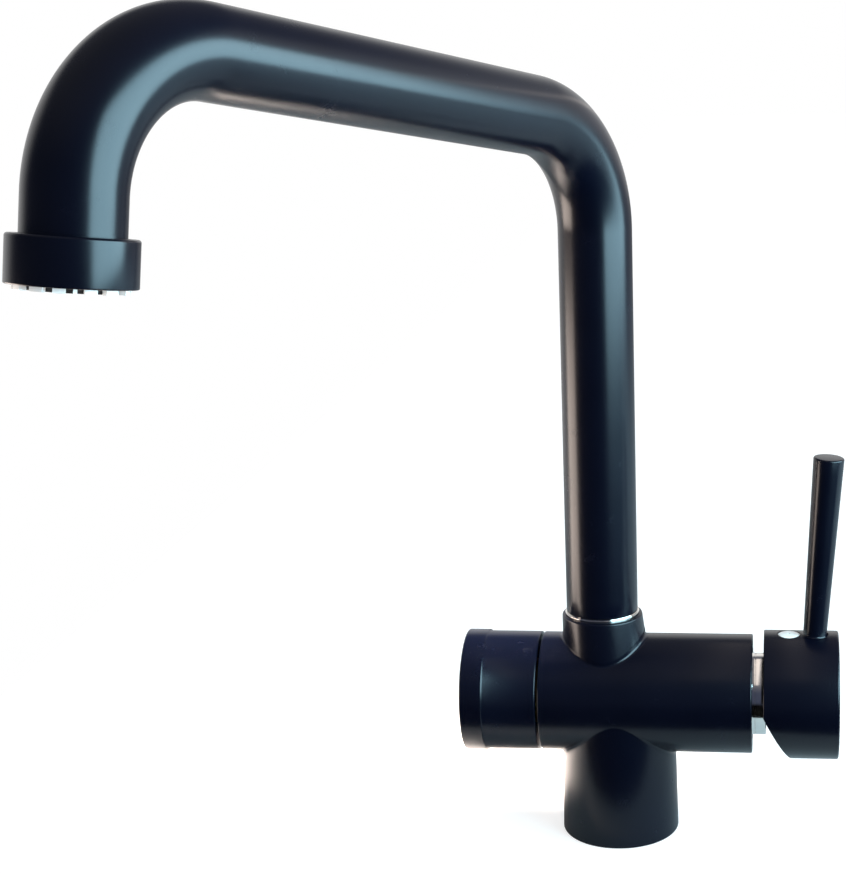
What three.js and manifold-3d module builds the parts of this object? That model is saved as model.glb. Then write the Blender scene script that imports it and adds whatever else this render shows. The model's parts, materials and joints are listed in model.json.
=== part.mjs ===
// Three way filtered water tap: a deck tap with a hot and cold mixer at its right end, a filtered water valve
// at its left end, and one swivel spout that keeps the two waters apart down to the outlet.
// Millimetres, +Z up. The origin is the centre of the foot's underside. +X runs along the body towards the
// mixer handle, and -Y is the front.
import * as THREE from "three";
import { mergeVertices } from "three/addons/utils/BufferGeometryUtils.js";
import Module from "manifold-3d";

// ---- Driving dimensions ----

// Clearances
const slipGap = 0.3; // between round pieces that sit in each other
const slidingGap = 0.15; // between faces that slide on each other
const seatGap = 0.1; // between turned faces that seat on each other

// Body casting
const footRadius = 25;
const stemTaper = 0.019; // radius lost per millimetre of height
const footEdge = 0.8;
const bodyHeight = 61.4; // the body's axis above the deck
const bodyRadius = 25.1;
const bodyRight = 57.2; // x of the end that takes the mixer cartridge
const bodyLeft = -32.2; // x of the end that takes the filter valve
const bodyEdge = 0.5;
const stemFillet = 2.4;
const neckFillet = 1.6;

// Neck that carries the spout
const neckOffset = -6.5; // x of the swivel axis
const neckTop = 97.0;
const neckRadius = 17.0;
const neckFlare = 0.065; // radius gained, and centre moved towards the stem, per millimetre downwards
const neckEdge = 0.8;
const neckBoreRadius = 14.3;
const neckBoreDepth = 30.5;

// Spout tube
const tubeRadius = 15.08;
const tubeWall = 1.5;
const spoutBearing = -119.1; // degrees about +Z from +X, where the spout points at rest
const riserCorner = 300.5; // height at which the riser's axis meets the arm's axis
const armRise = 9.4; // degrees
const armLength = 253; // between the two corners
const outletLean = 8.4; // degrees that the outlet leans outwards from straight down
const riserBend = 48.9;
const outletBend = 46.1;
const glideRingThickness = 1.3;
const glideRingWidth = 1.8;

// Outlet, measured along its own axis from the arm's outer corner
const collarStart = 58.3;
const collarLength = 14.4;
const collarWall = 2.2; // round the aerator
const collarEdge = 0.9;
const tubeInCollar = 4.6;
const aeratorRadius = 16.6;
const aeratorWall = 2.4;
const aeratorProud = 1.5;
const aeratorSlotCount = 16;
const aeratorSlotWidth = 2.2;
const aeratorSealThickness = 1.5;
const plateThickness = 2;
const plateDepth = 4.6; // from the aerator's lip up to the plate
const plateSkirtWall = 1;
const sprayHoleRadius = 0.8;
const nozzleRadius = 5;

// Spout shank and the filtered water line
const shankLength = 21.5; // in the neck
const shankSpigotLength = 13; // up in the tube
const shankBoreRadius = 9.5;
const shankRingThickness = 2.3;
const lineRadius = 4;
const lineWall = 1;
const spigotRadius = 6.1;
const spigotHeight = 15.5;
const spigotSeatDepth = 3.4;
const setScrewRadius = 1.9;

// Mixer cartridge, a 35 mm ceramic one
const pocketDepth = 36.5;
const pocketRadius = 17.75;
const nutThreadRadius = 19.1;
const nutRadius = 17.2;
const nutProud = 5.8; // beyond the body's end
const nutBoreRadius = 12.5;
const sealThickness = 1.4;
const baseThickness = 4.6;
const fixedDiscThickness = 4;
const movingDiscThickness = 4;
const movingDiscRadius = 10.2;
const driverThickness = 4.85;
const carrierRadius = 12.4;
const carrierLength = 11.5;
const housingLipThickness = 2.8;
const housingNeckLength = 7.7;
const housingWall = 2.2;
const pivotToBall = 8; // the ball moves the ceramic disc by this lever arm
const ballRadius = 2.5;
const stemWidth = 7;
const pinRadius = 1.25;
const mixerPortRadius = 2;
const mixerInletUp = 3.2; // of the two inlets above the cartridge's axis
const mixerInletSide = 5.2;
const mixerOutletDown = 2.8;
const discHollowRadius = 4.4;
const discHollowDown = 1.2; // with the lever shut

// Mixer handle
const handleGap = 4.7; // between the body's end and the handle
const handleLength = 31.5;
const handleRadius = 27;
const handleWall = 3;
const handleEndWall = 3.6;
const handleEdge = 0.9;
const handleBossRadius = 7.5;
const handleBossInset = 7.5; // from the handle's rim to its boss
const reliefStart = 2.7; // below the axis, where the rim's slanted relief starts
const reliefAngle = 26; // degrees
const maxTilt = 25; // degrees that the lever swings outwards
const stemReach = 22.5; // of the stem into the handle
const leverInset = 21.5; // from the handle's rim to the lever's root
const leverLean = 3.85; // degrees outwards
const leverLength = 76.8;
const leverRootRadius = 4.96;
const leverTipRadius = 6.4;
const leverSocketDepth = 4;
const leverStudRadius = 3;
const leverStudLength = 10;
const indicatorInset = 10.6; // from the handle's rim to the indicator
const indicatorRadius = 4.6;
const indicatorDome = 0.6;
const handleScrewRadius = 2.4;

// Filter valve and its knob
const valvePocketDepth = 10.3;
const valveThreadRadius = 10;
const valveSeatThickness = 1.7;
const valveDiscThickness = 2.4;
const valveDiscRadius = 8.3;
const valveWasherThickness = 1;
const valveHexWidth = 24; // across flats
const valveHexLength = 4.5;
const valveBarrelRadius = 8;
const valveBarrelLength = 7.8;
const spindleRadius = 4.8;
const splineRadius = 4;
const clipThickness = 0.7;
const knobGap = 1;
const knobLength = 31.9;
const knobRadius = 25.2;
const knobWall = 3.2;
const knobEndWall = 4;
const knobRimRadius = 25.75;
const knobRimWidth = 9.2;
const knobEdge = 0.6;
const knobBossRadius = 7.5;
const knobCapRadius = 11.9;
const knobCapThickness = 1.5;

// Foot
const inletThreadRadius = 4.4; // M10 x 1, drawn smooth at the thread's inner size
const inletThreadDepth = 14;
const inletFaceRadius = 6; // spot face round each inlet
const inletFaceDepth = 0.8;
const waterwayRadius = 3.4;
const mixerInletPlace = [9, 9]; // x, and y to both sides
const filterInletPlace = -12; // x
const footRingRadius = 21;
const footRingThickness = 2.4;
const studHolePlaces = [[-7, 14], [-7, -14]];
const studHoleRadius = 2.5;
const studHoleDepth = 16;

// Faces round the turned shapes
const wideSides = 26;
const insideSides = 18; // wide pieces inside the body
const midSides = 14;
const smallSides = 8;

// ---- Materials ----

const finish = (color, roughness, metalness) =>
  new THREE.MeshStandardMaterial({ color, roughness, metalness });
const blackPaint = finish(0x17181b, 0.42, 0.1);
const chrome = finish(0xd8d6d0, 0.12, 1);
const brass = finish(0xb08d4a, 0.35, 1);
const steel = finish(0xa9abad, 0.3, 1);
const ceramic = finish(0xe9e6df, 0.25, 0);
const rubber = finish(0x1b1b1b, 0.8, 0);
const whitePlastic = finish(0xe6e7e6, 0.4, 0);
const greyPlastic = finish(0x8c9196, 0.5, 0);
const blackPlastic = finish(0x222326, 0.5, 0);

// ---- Shapes ----

const wasm = await Module();
wasm.setup();

// A closed geometry as a solid, with its faces turned outwards.
function solid(geometry) {
  const bare = new THREE.BufferGeometry();
  const loose = geometry.index ? geometry.toNonIndexed() : geometry;
  bare.setAttribute("position", loose.getAttribute("position"));
  const merged = mergeVertices(bare, 1e-4);
  const corners = Array.from(merged.index.array);
  const triangles = [];
  for (let i = 0; i < corners.length; i += 3) {
    const [a, b, c] = corners.slice(i, i + 3);
    if (a !== b && b !== c && c !== a) triangles.push(a, b, c);
  }
  const vertProperties = merged.attributes.position.array;
  const build = (list) =>
    new wasm.Manifold(new wasm.Mesh({ numProp: 3, vertProperties, triVerts: new Uint32Array(list) }));
  const made = build(triangles);
  return made.volume() > 0 ? made : build(triangles.toReversed());
}

const join = (...pieces) => pieces.reduce((sum, piece) => sum.add(piece));
const cut = (piece, ...tools) => tools.reduce((rest, tool) => rest.subtract(tool), piece);

function geometryOf(made) {
  const mesh = made.getMesh();
  const geometry = new THREE.BufferGeometry();
  geometry.setAttribute("position", new THREE.BufferAttribute(new Float32Array(mesh.vertProperties), 3));
  geometry.setIndex(new THREE.BufferAttribute(mesh.triVerts, 1));
  geometry.computeVertexNormals();
  return geometry;
}

// A shape turned about its own Z. The profile is a closed loop of [radius, z].
function turned(profile, sides, place = new THREE.Matrix4()) {
  const loop = [...profile, profile[0]].map(([r, z]) => new THREE.Vector2(r, z));
  return solid(new THREE.LatheGeometry(loop, sides).rotateX(Math.PI / 2).applyMatrix4(place));
}

const rod = (radius, from, to, sides = smallSides, place = undefined) =>
  turned([[0, from], [radius, from], [radius, to], [0, to]], sides, place);

const ring = (inner, outer, from, to, sides = midSides) =>
  turned([[inner, from], [outer, from], [outer, to], [inner, to]], sides);

const oRing = (radius, thickness, z, sides = midSides) =>
  solid(new THREE.TorusGeometry(radius, thickness / 2, 6, sides).translate(0, 0, z));

const block = (size, centre) => solid(new THREE.BoxGeometry(...size).translate(...centre));

// Profile points of a rounded corner: the arc's centre, its radius, and its start and end in degrees.
function arc(r, z, radius, start, end, steps = 2) {
  const points = [];
  for (let i = 0; i <= steps; i++) {
    const angle = THREE.MathUtils.degToRad(start + ((end - start) * i) / steps);
    points.push([r + radius * Math.cos(angle), z + radius * Math.sin(angle)]);
  }
  return points;
}

// A round bar or drilling between two points.
function bar(radius, from, to, sides = smallSides) {
  const start = new THREE.Vector3(...from);
  const along = new THREE.Vector3(...to).sub(start);
  const direction = along.clone().normalize();
  const turn = new THREE.Quaternion().setFromUnitVectors(new THREE.Vector3(0, 0, 1), direction);
  const place = new THREE.Matrix4().compose(start, turn, new THREE.Vector3(1, 1, 1));
  return rod(radius, 0, along.length(), sides, place);
}

// A frame whose Z looks along an axis and whose X looks up, so "up" on the tap is local +X.
function axisFrame(lengthwise, up, origin) {
  const z = lengthwise.clone().normalize();
  const y = z.clone().cross(up).normalize();
  const x = y.clone().cross(z);
  return new THREE.Matrix4().makeBasis(x, y, z).setPosition(origin);
}

const upwards = new THREE.Vector3(0, 0, 1);
const rightwards = new THREE.Vector3(1, 0, 0);
const leftwards = new THREE.Vector3(-1, 0, 0);
const onBodyAxis = axisFrame(rightwards, upwards, new THREE.Vector3(0, 0, bodyHeight));

// ---- The assembly's groups ----

const tap = new THREE.Group();

function frameGroup(matrix, parent = tap) {
  const group = new THREE.Group();
  group.applyMatrix4(matrix);
  parent.add(group);
  return group;
}

function add(group, name, made, material) {
  const mesh = new THREE.Mesh(geometryOf(made), material);
  mesh.name = name;
  group.add(mesh);
}

// Cartridge and handle: local z = 0 is the pocket's floor, and z runs outwards to the right.
const pocketFloor = bodyRight - pocketDepth;
const mixer = frameGroup(axisFrame(rightwards, upwards, new THREE.Vector3(pocketFloor, 0, bodyHeight)));
// Filter valve and knob: local z = 0 is the body's left end, and z runs outwards to the left.
const filter = frameGroup(axisFrame(leftwards, upwards, new THREE.Vector3(bodyLeft, 0, bodyHeight)));
// Neck and spout: the swivel axis, with local x along the spout.
const swivel = frameGroup(
  new THREE.Matrix4().makeRotationZ(THREE.MathUtils.degToRad(spoutBearing)).setPosition(neckOffset, 0, 0),
);

// ---- Body casting ----

const neckFloor = neckTop - neckBoreDepth;
const setScrewHeight = neckTop - 6.85;
const mixerInletHeight = bodyHeight + mixerInletUp;
const mixerOutletHeight = bodyHeight - mixerOutletDown;
const valveFloor = bodyLeft + valvePocketDepth;
const nutSeat = bodyRight - (pocketDepth - 26.3);
const stemRadiusAt = (z) => footRadius - stemTaper * z;
const neckRadiusAt = (z) => neckRadius + neckFlare * (neckTop - z);
const neckCentreAt = (z) => neckOffset + neckFlare * (neckTop - z);

// The rolled fillet where an upright round wall meets the body. At each bearing a ball of the fillet's radius
// touches both surfaces, and the corner behind its two touch points is filled.
function rolledFillet(radiusAt, centreAt, upward, fillet) {
  const arcSteps = 2;
  const sunk = 1;
  const points = [];
  const reach = bodyRadius + fillet;
  for (let i = 0; i < wideSides; i++) {
    const bearing = (2 * Math.PI * i) / wideSides;
    const outward = new THREE.Vector3(Math.cos(bearing), Math.sin(bearing), 0);
    let z = bodyHeight + upward * bodyRadius;
    let y = 0;
    for (let pass = 0; pass < 4; pass++) {
      y = (radiusAt(z) + fillet) * outward.y;
      z = bodyHeight + upward * Math.sqrt(reach * reach - y * y);
    }
    const ball = new THREE.Vector3(centreAt(z) + (radiusAt(z) + fillet) * outward.x, y, z);
    const toWall = outward.clone().negate();
    const toBody = new THREE.Vector3(0, -y, bodyHeight - z).normalize();
    const toCorner = toWall.clone().add(toBody).normalize();
    const cornerDistance = fillet / toCorner.dot(toWall);
    for (let step = 0; step <= arcSteps; step++) {
      const way = toWall.clone().lerp(toBody, step / arcSteps).normalize();
      points.push(ball.clone().addScaledVector(way, fillet));
    }
    points.push(ball.clone().addScaledVector(toCorner, cornerDistance + sunk));
  }
  return solid(closedLoopOfRings(points, arcSteps + 2));
}

// Rings of the same number of points, one behind the other in a closed loop.
function closedLoopOfRings(points, ringSize) {
  const count = points.length / ringSize;
  const index = [];
  for (let i = 0; i < count; i++) {
    for (let j = 0; j < ringSize; j++) {
      const here = i * ringSize;
      const next = ((i + 1) % count) * ringSize;
      const k = (j + 1) % ringSize;
      index.push(here + j, next + j, here + k, here + k, next + j, next + k);
    }
  }
  return new THREE.BufferGeometry().setFromPoints(points).setIndex(index);
}

function castShape() {
  const barrel = turned(
    [
      [0, bodyLeft],
      ...arc(bodyRadius - bodyEdge, bodyLeft + bodyEdge, bodyEdge, -90, 0),
      ...arc(bodyRadius - bodyEdge, bodyRight - bodyEdge, bodyEdge, 0, 90),
      [0, bodyRight],
    ],
    wideSides,
    onBodyAxis,
  );
  const stem = turned(
    [
      [0, 0],
      ...arc(footRadius - footEdge, footEdge, footEdge, -90, 0),
      [stemRadiusAt(bodyHeight), bodyHeight],
      [0, bodyHeight],
    ],
    wideSides,
  );
  const neckFoot = bodyHeight + bodyRadius / 3;
  const lean = new THREE.Matrix4().set(
    1, 0, -neckFlare, neckOffset + neckFlare * neckTop, 0, 1, 0, 0, 0, 0, 1, 0, 0, 0, 0, 1,
  );
  const neck = turned(
    [
      [0, neckFoot],
      [neckRadiusAt(neckFoot), neckFoot],
      ...arc(neckRadius - neckEdge, neckTop - neckEdge, neckEdge, 0, 90),
      [0, neckTop],
    ],
    wideSides,
    lean,
  );
  return join(
    barrel,
    stem,
    neck,
    rolledFillet(stemRadiusAt, () => 0, -1, stemFillet),
    rolledFillet(neckRadiusAt, neckCentreAt, 1, neckFillet),
  );
}

function bodyPockets() {
  const past = 1;
  const cartridge = turned(
    [
      [0, pocketFloor],
      [pocketRadius, pocketFloor],
      [pocketRadius, nutSeat],
      [nutThreadRadius + slipGap, nutSeat],
      [nutThreadRadius + slipGap, bodyRight + past],
      [0, bodyRight + past],
    ],
    wideSides,
    onBodyAxis,
  );
  const valve = rod(valveThreadRadius + slipGap, bodyLeft - past, valveFloor, midSides, onBodyAxis);
  const neckMouth = neckTop + past;
  const neckBore = bar(neckBoreRadius, [neckOffset, 0, neckFloor], [neckOffset, 0, neckMouth], wideSides);
  const spigotSeat = bar(
    spigotRadius + slipGap,
    [neckOffset, 0, neckFloor - spigotSeatDepth],
    [neckOffset, 0, neckFloor + past],
    midSides,
  );
  const pegHoles = pegPlaces.map(([up, side]) =>
    bar(
      pegRadius + slipGap,
      [pocketFloor - pegLength, side, bodyHeight + up],
      [pocketFloor + past, side, bodyHeight + up],
    ),
  );
  const screwHole = bar(
    setScrewRadius + slipGap,
    [neckOffset, neckBoreRadius - past, setScrewHeight],
    [neckOffset, neckRadius + 2 * past, setScrewHeight],
  );
  return [cartridge, valve, neckBore, spigotSeat, screwHole, ...pegHoles];
}

// Drillings that join the inlets, the two valves and the neck.
function waterways() {
  const [inletX, inletY] = mixerInletPlace;
  const rises = (x, y, top) => [
    bar(inletFaceRadius, [x, y, -1], [x, y, inletFaceDepth], midSides),
    bar(inletThreadRadius, [x, y, -1], [x, y, inletThreadDepth]),
    bar(waterwayRadius, [x, y, 0], [x, y, top]),
  ];
  const mixerFeeds = [-1, 1].flatMap((side) => [
    ...rises(inletX, side * inletY, mixerInletHeight),
    bar(
      mixerPortRadius,
      [inletX, side * mixerInletSide, mixerInletHeight],
      [pocketFloor + 1, side * mixerInletSide, mixerInletHeight],
    ),
  ]);
  const mixedX = neckOffset + spigotRadius + mixerPortRadius + 1;
  const mixed = [
    bar(mixerPortRadius, [mixedX, 0, mixerOutletHeight], [pocketFloor + 1, 0, mixerOutletHeight]),
    bar(mixerPortRadius, [mixedX, 0, mixerOutletHeight - mixerPortRadius], [mixedX, 0, neckFloor + 1]),
  ];
  const lineBore = lineRadius - lineWall;
  const filterFeedHeight = bodyHeight - 7;
  const filtered = [
    ...rises(filterInletPlace, 0, filterFeedHeight),
    bar(2.4, [valveFloor - 1, 0, filterFeedHeight], [filterInletPlace, 0, filterFeedHeight]),
    bar(lineBore, [valveFloor - 1, 0, bodyHeight], [neckOffset, 0, bodyHeight]),
    bar(lineBore, [neckOffset, 0, bodyHeight - lineBore / 2], [neckOffset, 0, neckFloor]),
  ];
  const studHoles = studHolePlaces.map(([x, y]) => bar(studHoleRadius, [x, y, -1], [x, y, studHoleDepth]));
  return [...mixerFeeds, ...mixed, ...filtered, ...studHoles];
}

// Two pegs locate the cartridge's base in the pocket's floor.
const pegRadius = 1.75;
const pegLength = 3;
const pegPlaces = [[-3, 12.5], [-3, -12.5]];

const footGrooveDepth = footRingThickness + 0.2;
const footGroove = ring(
  footRingRadius - footRingThickness / 2 - 0.2,
  footRingRadius + footRingThickness / 2 + 0.2,
  -1,
  footGrooveDepth,
  wideSides,
);
add(tap, "mixer_body", cut(castShape(), ...bodyPockets(), ...waterways(), footGroove), blackPaint);
const footRing = oRing(footRingRadius, footRingThickness, footRingThickness / 2 + 0.1, wideSides);
add(tap, "base_o_ring", footRing, rubber);

// ---- Mixer cartridge ----

const sealTop = sealThickness;
const baseTop = sealTop + baseThickness;
const fixedDiscTop = baseTop + fixedDiscThickness;
const movingDiscBottom = fixedDiscTop + slidingGap;
const movingDiscTop = movingDiscBottom + movingDiscThickness;
const driverTop = movingDiscTop + driverThickness;
const ballStation = driverTop - 1;
const pivotStation = ballStation + pivotToBall;
const carrierBottom = driverTop + 0.4;
const carrierTop = carrierBottom + carrierLength;
const housingLipBottom = carrierTop + slipGap;
const housingTop = housingLipBottom + housingLipThickness;
const housingShoulder = housingTop - housingNeckLength;
const housingRadius = pocketRadius - 0.4;
const nutTop = pocketDepth + nutProud;
const tiltRadians = THREE.MathUtils.degToRad(maxTilt);
const discTravel = pivotToBall * tiltRadians;
const discChamberRadius = movingDiscRadius + discTravel + slipGap + 0.2;

const portPlaces = [
  [mixerInletUp, mixerInletSide],
  [mixerInletUp, -mixerInletSide],
  [-mixerOutletDown, 0],
];
const portHoles = (radius, from, to) =>
  portPlaces.map(([up, side]) => bar(radius, [up, side, from], [up, side, to]));

// The seal's three rings and the web that joins them.
function cartridgeSeal() {
  const lip = mixerPortRadius + 1.7;
  const rings = portPlaces.map(([up, side]) => bar(lip, [up, side, 0], [up, side, sealTop]));
  return cut(join(rod(4.4, 0, sealTop, midSides), ...rings), ...portHoles(mixerPortRadius, -1, sealTop + 1));
}

function cartridgeBase() {
  const disc = rod(housingRadius, sealTop, baseTop, insideSides);
  const pegs = pegPlaces.map(([up, side]) =>
    bar(pegRadius, [up, side, slipGap - pegLength], [up, side, sealTop + 0.5]),
  );
  return cut(join(disc, ...pegs), ...portHoles(mixerPortRadius, sealTop - 1, baseTop + 1));
}

function cartridgeHousing() {
  const neckOuter = housingRadius - housingWall;
  return turned(
    [
      [discChamberRadius, baseTop],
      [housingRadius, baseTop],
      [housingRadius, housingShoulder],
      [neckOuter, housingShoulder],
      [neckOuter, housingTop],
      [carrierRadius - 2.4, housingTop],
      [carrierRadius - 2.4, housingLipBottom],
      [carrierRadius + slipGap, housingLipBottom],
      [carrierRadius + slipGap, carrierBottom - 0.2],
      [discChamberRadius, carrierBottom - 0.2],
    ],
    insideSides,
  );
}

function cartridgeNut() {
  const seatInner = housingRadius - housingWall + slipGap;
  const notchWidth = 4;
  const notchDepth = 0.7;
  const body = turned(
    [
      [seatInner, housingShoulder],
      [nutThreadRadius, housingShoulder],
      [nutThreadRadius, pocketDepth - 0.6],
      [nutRadius, pocketDepth - 0.2],
      ...arc(nutRadius - 0.6, nutTop - 0.6, 0.6, 0, 90),
      [nutBoreRadius, nutTop],
      [nutBoreRadius, housingTop + slipGap],
      [seatInner, housingTop + slipGap],
    ],
    insideSides,
  );
  const notches = [0, 1].map((n) => {
    const across = 2 * nutRadius + 2;
    const size = n ? [notchWidth, across, 2 * notchDepth] : [across, notchWidth, 2 * notchDepth];
    return block(size, [0, 0, nutTop]);
  });
  return cut(body, ...notches);
}

// The moving disc's hollow always covers the outlet. It moves up over both inlets as the lever is swung out,
// and over one of them as the lever is turned.
function movingDisc() {
  const [from, to] = [movingDiscBottom - 1, movingDiscBottom + 2];
  const hollow = bar(discHollowRadius, [-discHollowDown, 0, from], [-discHollowDown, 0, to], midSides);
  return cut(rod(movingDiscRadius, movingDiscBottom, movingDiscTop, midSides), hollow);
}

const railSide = 8.6;
const railWidth = 2;
const railHeight = 2.8;

function discDriver() {
  const socket = rod(ballRadius + 0.5, ballStation - ballRadius - 0.5, driverTop + 1);
  const grooves = [-1, 1].map((side) =>
    block(
      [2 * movingDiscRadius + 2, railWidth + 2 * slipGap, railHeight + slipGap + 1],
      [0, side * railSide, driverTop - (railHeight + slipGap) / 2 + 0.5],
    ),
  );
  return cut(rod(movingDiscRadius, movingDiscTop, driverTop, midSides), socket, ...grooves);
}

function stemCarrier() {
  const swing = Math.tan(tiltRadians) * (carrierTop - pivotStation);
  const slotUp = 2 * (swing + stemWidth / 2 / Math.cos(tiltRadians) + 0.4);
  const middle = (carrierBottom + carrierTop) / 2;
  const slot = block([slotUp, stemWidth + 2 * 0.2, carrierLength + 2], [0, 0, middle]);
  const pinEnd = carrierRadius + 1;
  const pinHole = bar(pinRadius + slidingGap, [0, -pinEnd, pivotStation], [0, pinEnd, pivotStation]);
  const railLength = 2 * Math.sqrt(carrierRadius ** 2 - (railSide + railWidth / 2) ** 2) - 0.2;
  const rails = [-1, 1].map((side) =>
    block(
      [railLength, railWidth, railHeight + 1],
      [0, side * railSide, carrierBottom - 0.4 + (1 - railHeight) / 2],
    ),
  );
  const drum = rod(carrierRadius, carrierBottom, carrierTop, insideSides);
  return cut(join(drum, ...rails), slot, pinHole);
}

function cartridgeStem() {
  const squareFrom = ballStation + 4;
  const squareTo = pocketDepth + handleGap + stemReach;
  const chamfer = 0.7;
  const half = stemWidth / 2;
  const outline = new THREE.Shape();
  outline.moveTo(half - chamfer, -half);
  outline.lineTo(half, -half + chamfer);
  outline.lineTo(half, half - chamfer);
  outline.lineTo(half - chamfer, half);
  outline.lineTo(-half + chamfer, half);
  outline.lineTo(-half, half - chamfer);
  outline.lineTo(-half, -half + chamfer);
  outline.lineTo(-half + chamfer, -half);
  outline.closePath();
  const square = solid(
    new THREE.ExtrudeGeometry(outline, { depth: squareTo - squareFrom, bevelEnabled: false }).translate(
      0,
      0,
      squareFrom,
    ),
  );
  const ball = solid(new THREE.SphereGeometry(ballRadius, 16, 12).translate(0, 0, ballStation));
  const waist = rod(1.6, ballStation, squareFrom + 0.5);
  const pinHole = bar(pinRadius + slidingGap, [0, -stemWidth, pivotStation], [0, stemWidth, pivotStation]);
  return cut(join(square, ball, waist), pinHole);
}

add(mixer, "cartridge_seal", cartridgeSeal(), rubber);
add(mixer, "cartridge_base", cartridgeBase(), whitePlastic);
add(
  mixer,
  "mixer_fixed_disc",
  cut(
    rod(discChamberRadius - slipGap, baseTop, fixedDiscTop, midSides),
    ...portHoles(mixerPortRadius, baseTop - 1, fixedDiscTop + 1),
  ),
  ceramic,
);
add(mixer, "cartridge_housing", cartridgeHousing(), whitePlastic);
add(mixer, "cartridge_nut", cartridgeNut(), chrome);
add(mixer, "mixer_moving_disc", movingDisc(), ceramic);
add(mixer, "disc_driver", discDriver(), greyPlastic);
add(mixer, "stem_carrier", stemCarrier(), greyPlastic);
add(
  mixer,
  "pivot_pin",
  bar(pinRadius, [0, 0.6 - carrierRadius, pivotStation], [0, carrierRadius - 0.6, pivotStation]),
  steel,
);
add(mixer, "cartridge_stem", cartridgeStem(), brass);

// ---- Mixer handle ----

const rim = pocketDepth + handleGap;
const handleEnd = rim + handleLength;
const handleFloor = handleEnd - handleEndWall;
const leverRadians = THREE.MathUtils.degToRad(leverLean);
const leverWay = new THREE.Vector3(Math.cos(leverRadians), 0, Math.sin(leverRadians));
const leverRoot = new THREE.Vector3(handleRadius, 0, rim + leverInset);
const leverFrame = axisFrame(leverWay, new THREE.Vector3(0, 0, 1), leverRoot);
const indicatorFrame = axisFrame(
  new THREE.Vector3(1, 0, 0),
  new THREE.Vector3(0, 0, 1),
  new THREE.Vector3(handleRadius, 0, rim + indicatorInset),
);
const indicatorRecess = 3.2;
const plugClearance = 0.2;
const leverClearance = 0.2;

function handleShell() {
  const shell = turned(
    [
      [handleRadius - handleWall, rim],
      ...arc(handleRadius - 0.4, rim + 0.4, 0.4, -90, 0),
      ...arc(handleRadius - handleEdge, handleEnd - handleEdge, handleEdge, 0, 90),
      [0, handleEnd],
      [0, handleFloor],
      [handleRadius - handleWall, handleFloor],
    ],
    wideSides,
  );
  const bossFrom = rim + handleBossInset;
  const boss = rod(handleBossRadius, bossFrom, handleFloor + 1, midSides);
  const ribUp = handleRadius - handleWall + 1;
  const rib = block(
    [ribUp, 2 * (indicatorRadius + 2.4), handleFloor + 1 - bossFrom],
    [ribUp / 2, 0, (bossFrom + handleFloor + 1) / 2],
  );
  const socketWidth = stemWidth + 2 * slidingGap;
  const socket = block(
    [socketWidth, socketWidth, stemReach + 1],
    [0, 0, rim + (stemReach + 1) / 2 + 0.1],
  );
  const leverHole = turned(
    [
      [0, -leverSocketDepth - leverStudLength - 1],
      [leverStudRadius + slipGap, -leverSocketDepth - leverStudLength - 1],
      [leverStudRadius + slipGap, -leverSocketDepth],
      [leverRootRadius + leverClearance, -leverSocketDepth],
      [leverRootRadius + leverClearance, 3],
      [0, 3],
    ],
    midSides,
    leverFrame,
  );
  const screwHole = turned(
    [
      [0, stemWidth / 2 - handleRadius],
      [handleScrewRadius + slipGap, stemWidth / 2 - handleRadius],
      [handleScrewRadius + slipGap, -indicatorRecess],
      [indicatorRadius + plugClearance, -indicatorRecess],
      [indicatorRadius + plugClearance, 3],
      [0, 3],
    ],
    midSides,
    indicatorFrame,
  );
  const relief = reliefCut();
  return cut(join(shell, boss, rib), socket, leverHole, screwHole, relief);
}

// The slanted cut under the rim lets the handle swing out without touching the body.
function reliefCut() {
  const depth = 2 * handleRadius;
  const slant = Math.tan(THREE.MathUtils.degToRad(reliefAngle));
  const wedge = new THREE.Shape();
  wedge.moveTo(-reliefStart, rim);
  wedge.lineTo(-reliefStart - depth, rim + depth * slant);
  wedge.lineTo(-reliefStart - depth, rim - 1);
  wedge.lineTo(-reliefStart + 1 / slant, rim - 1);
  wedge.closePath();
  const width = 2 * handleRadius + 4;
  const flat = new THREE.ExtrudeGeometry(wedge, { depth: width, bevelEnabled: false });
  flat.translate(0, 0, -width / 2);
  // the shape's x is up and its y runs along the handle
  const upright = new THREE.Matrix4().makeBasis(
    new THREE.Vector3(1, 0, 0),
    new THREE.Vector3(0, 0, 1),
    new THREE.Vector3(0, -1, 0),
  );
  return solid(flat.applyMatrix4(upright));
}

function leverRod() {
  const seat = seatGap - leverSocketDepth;
  const slope = (leverTipRadius - leverRootRadius) / leverLength;
  const edge = 0.7;
  return turned(
    [
      [0, seat - leverStudLength],
      [leverStudRadius, seat - leverStudLength],
      [leverStudRadius, seat],
      [leverRootRadius, seat],
      [leverRootRadius, 0],
      [leverTipRadius - slope * edge, leverLength - edge],
      ...arc(leverTipRadius - edge, leverLength - edge, edge, 30, 90, 2),
      [0, leverLength],
    ],
    midSides,
  );
}

function setScrew(radius, length) {
  const socketRadius = radius * 0.55;
  const hexSocket = solid(
    new THREE.CylinderGeometry(socketRadius, socketRadius, length, 6)
      .rotateX(Math.PI / 2)
      .translate(0, 0, length / 2),
  );
  const body = turned(
    [[0, -length], [radius * 0.6, -length], [radius, radius * 0.4 - length], [radius, 0], [0, 0]],
    smallSides,
  );
  return cut(body, hexSocket);
}

add(mixer, "handle_shell", handleShell(), blackPaint);
const leverGroup = frameGroup(leverFrame, mixer);
add(leverGroup, "lever_rod", leverRod(), blackPaint);

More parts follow.
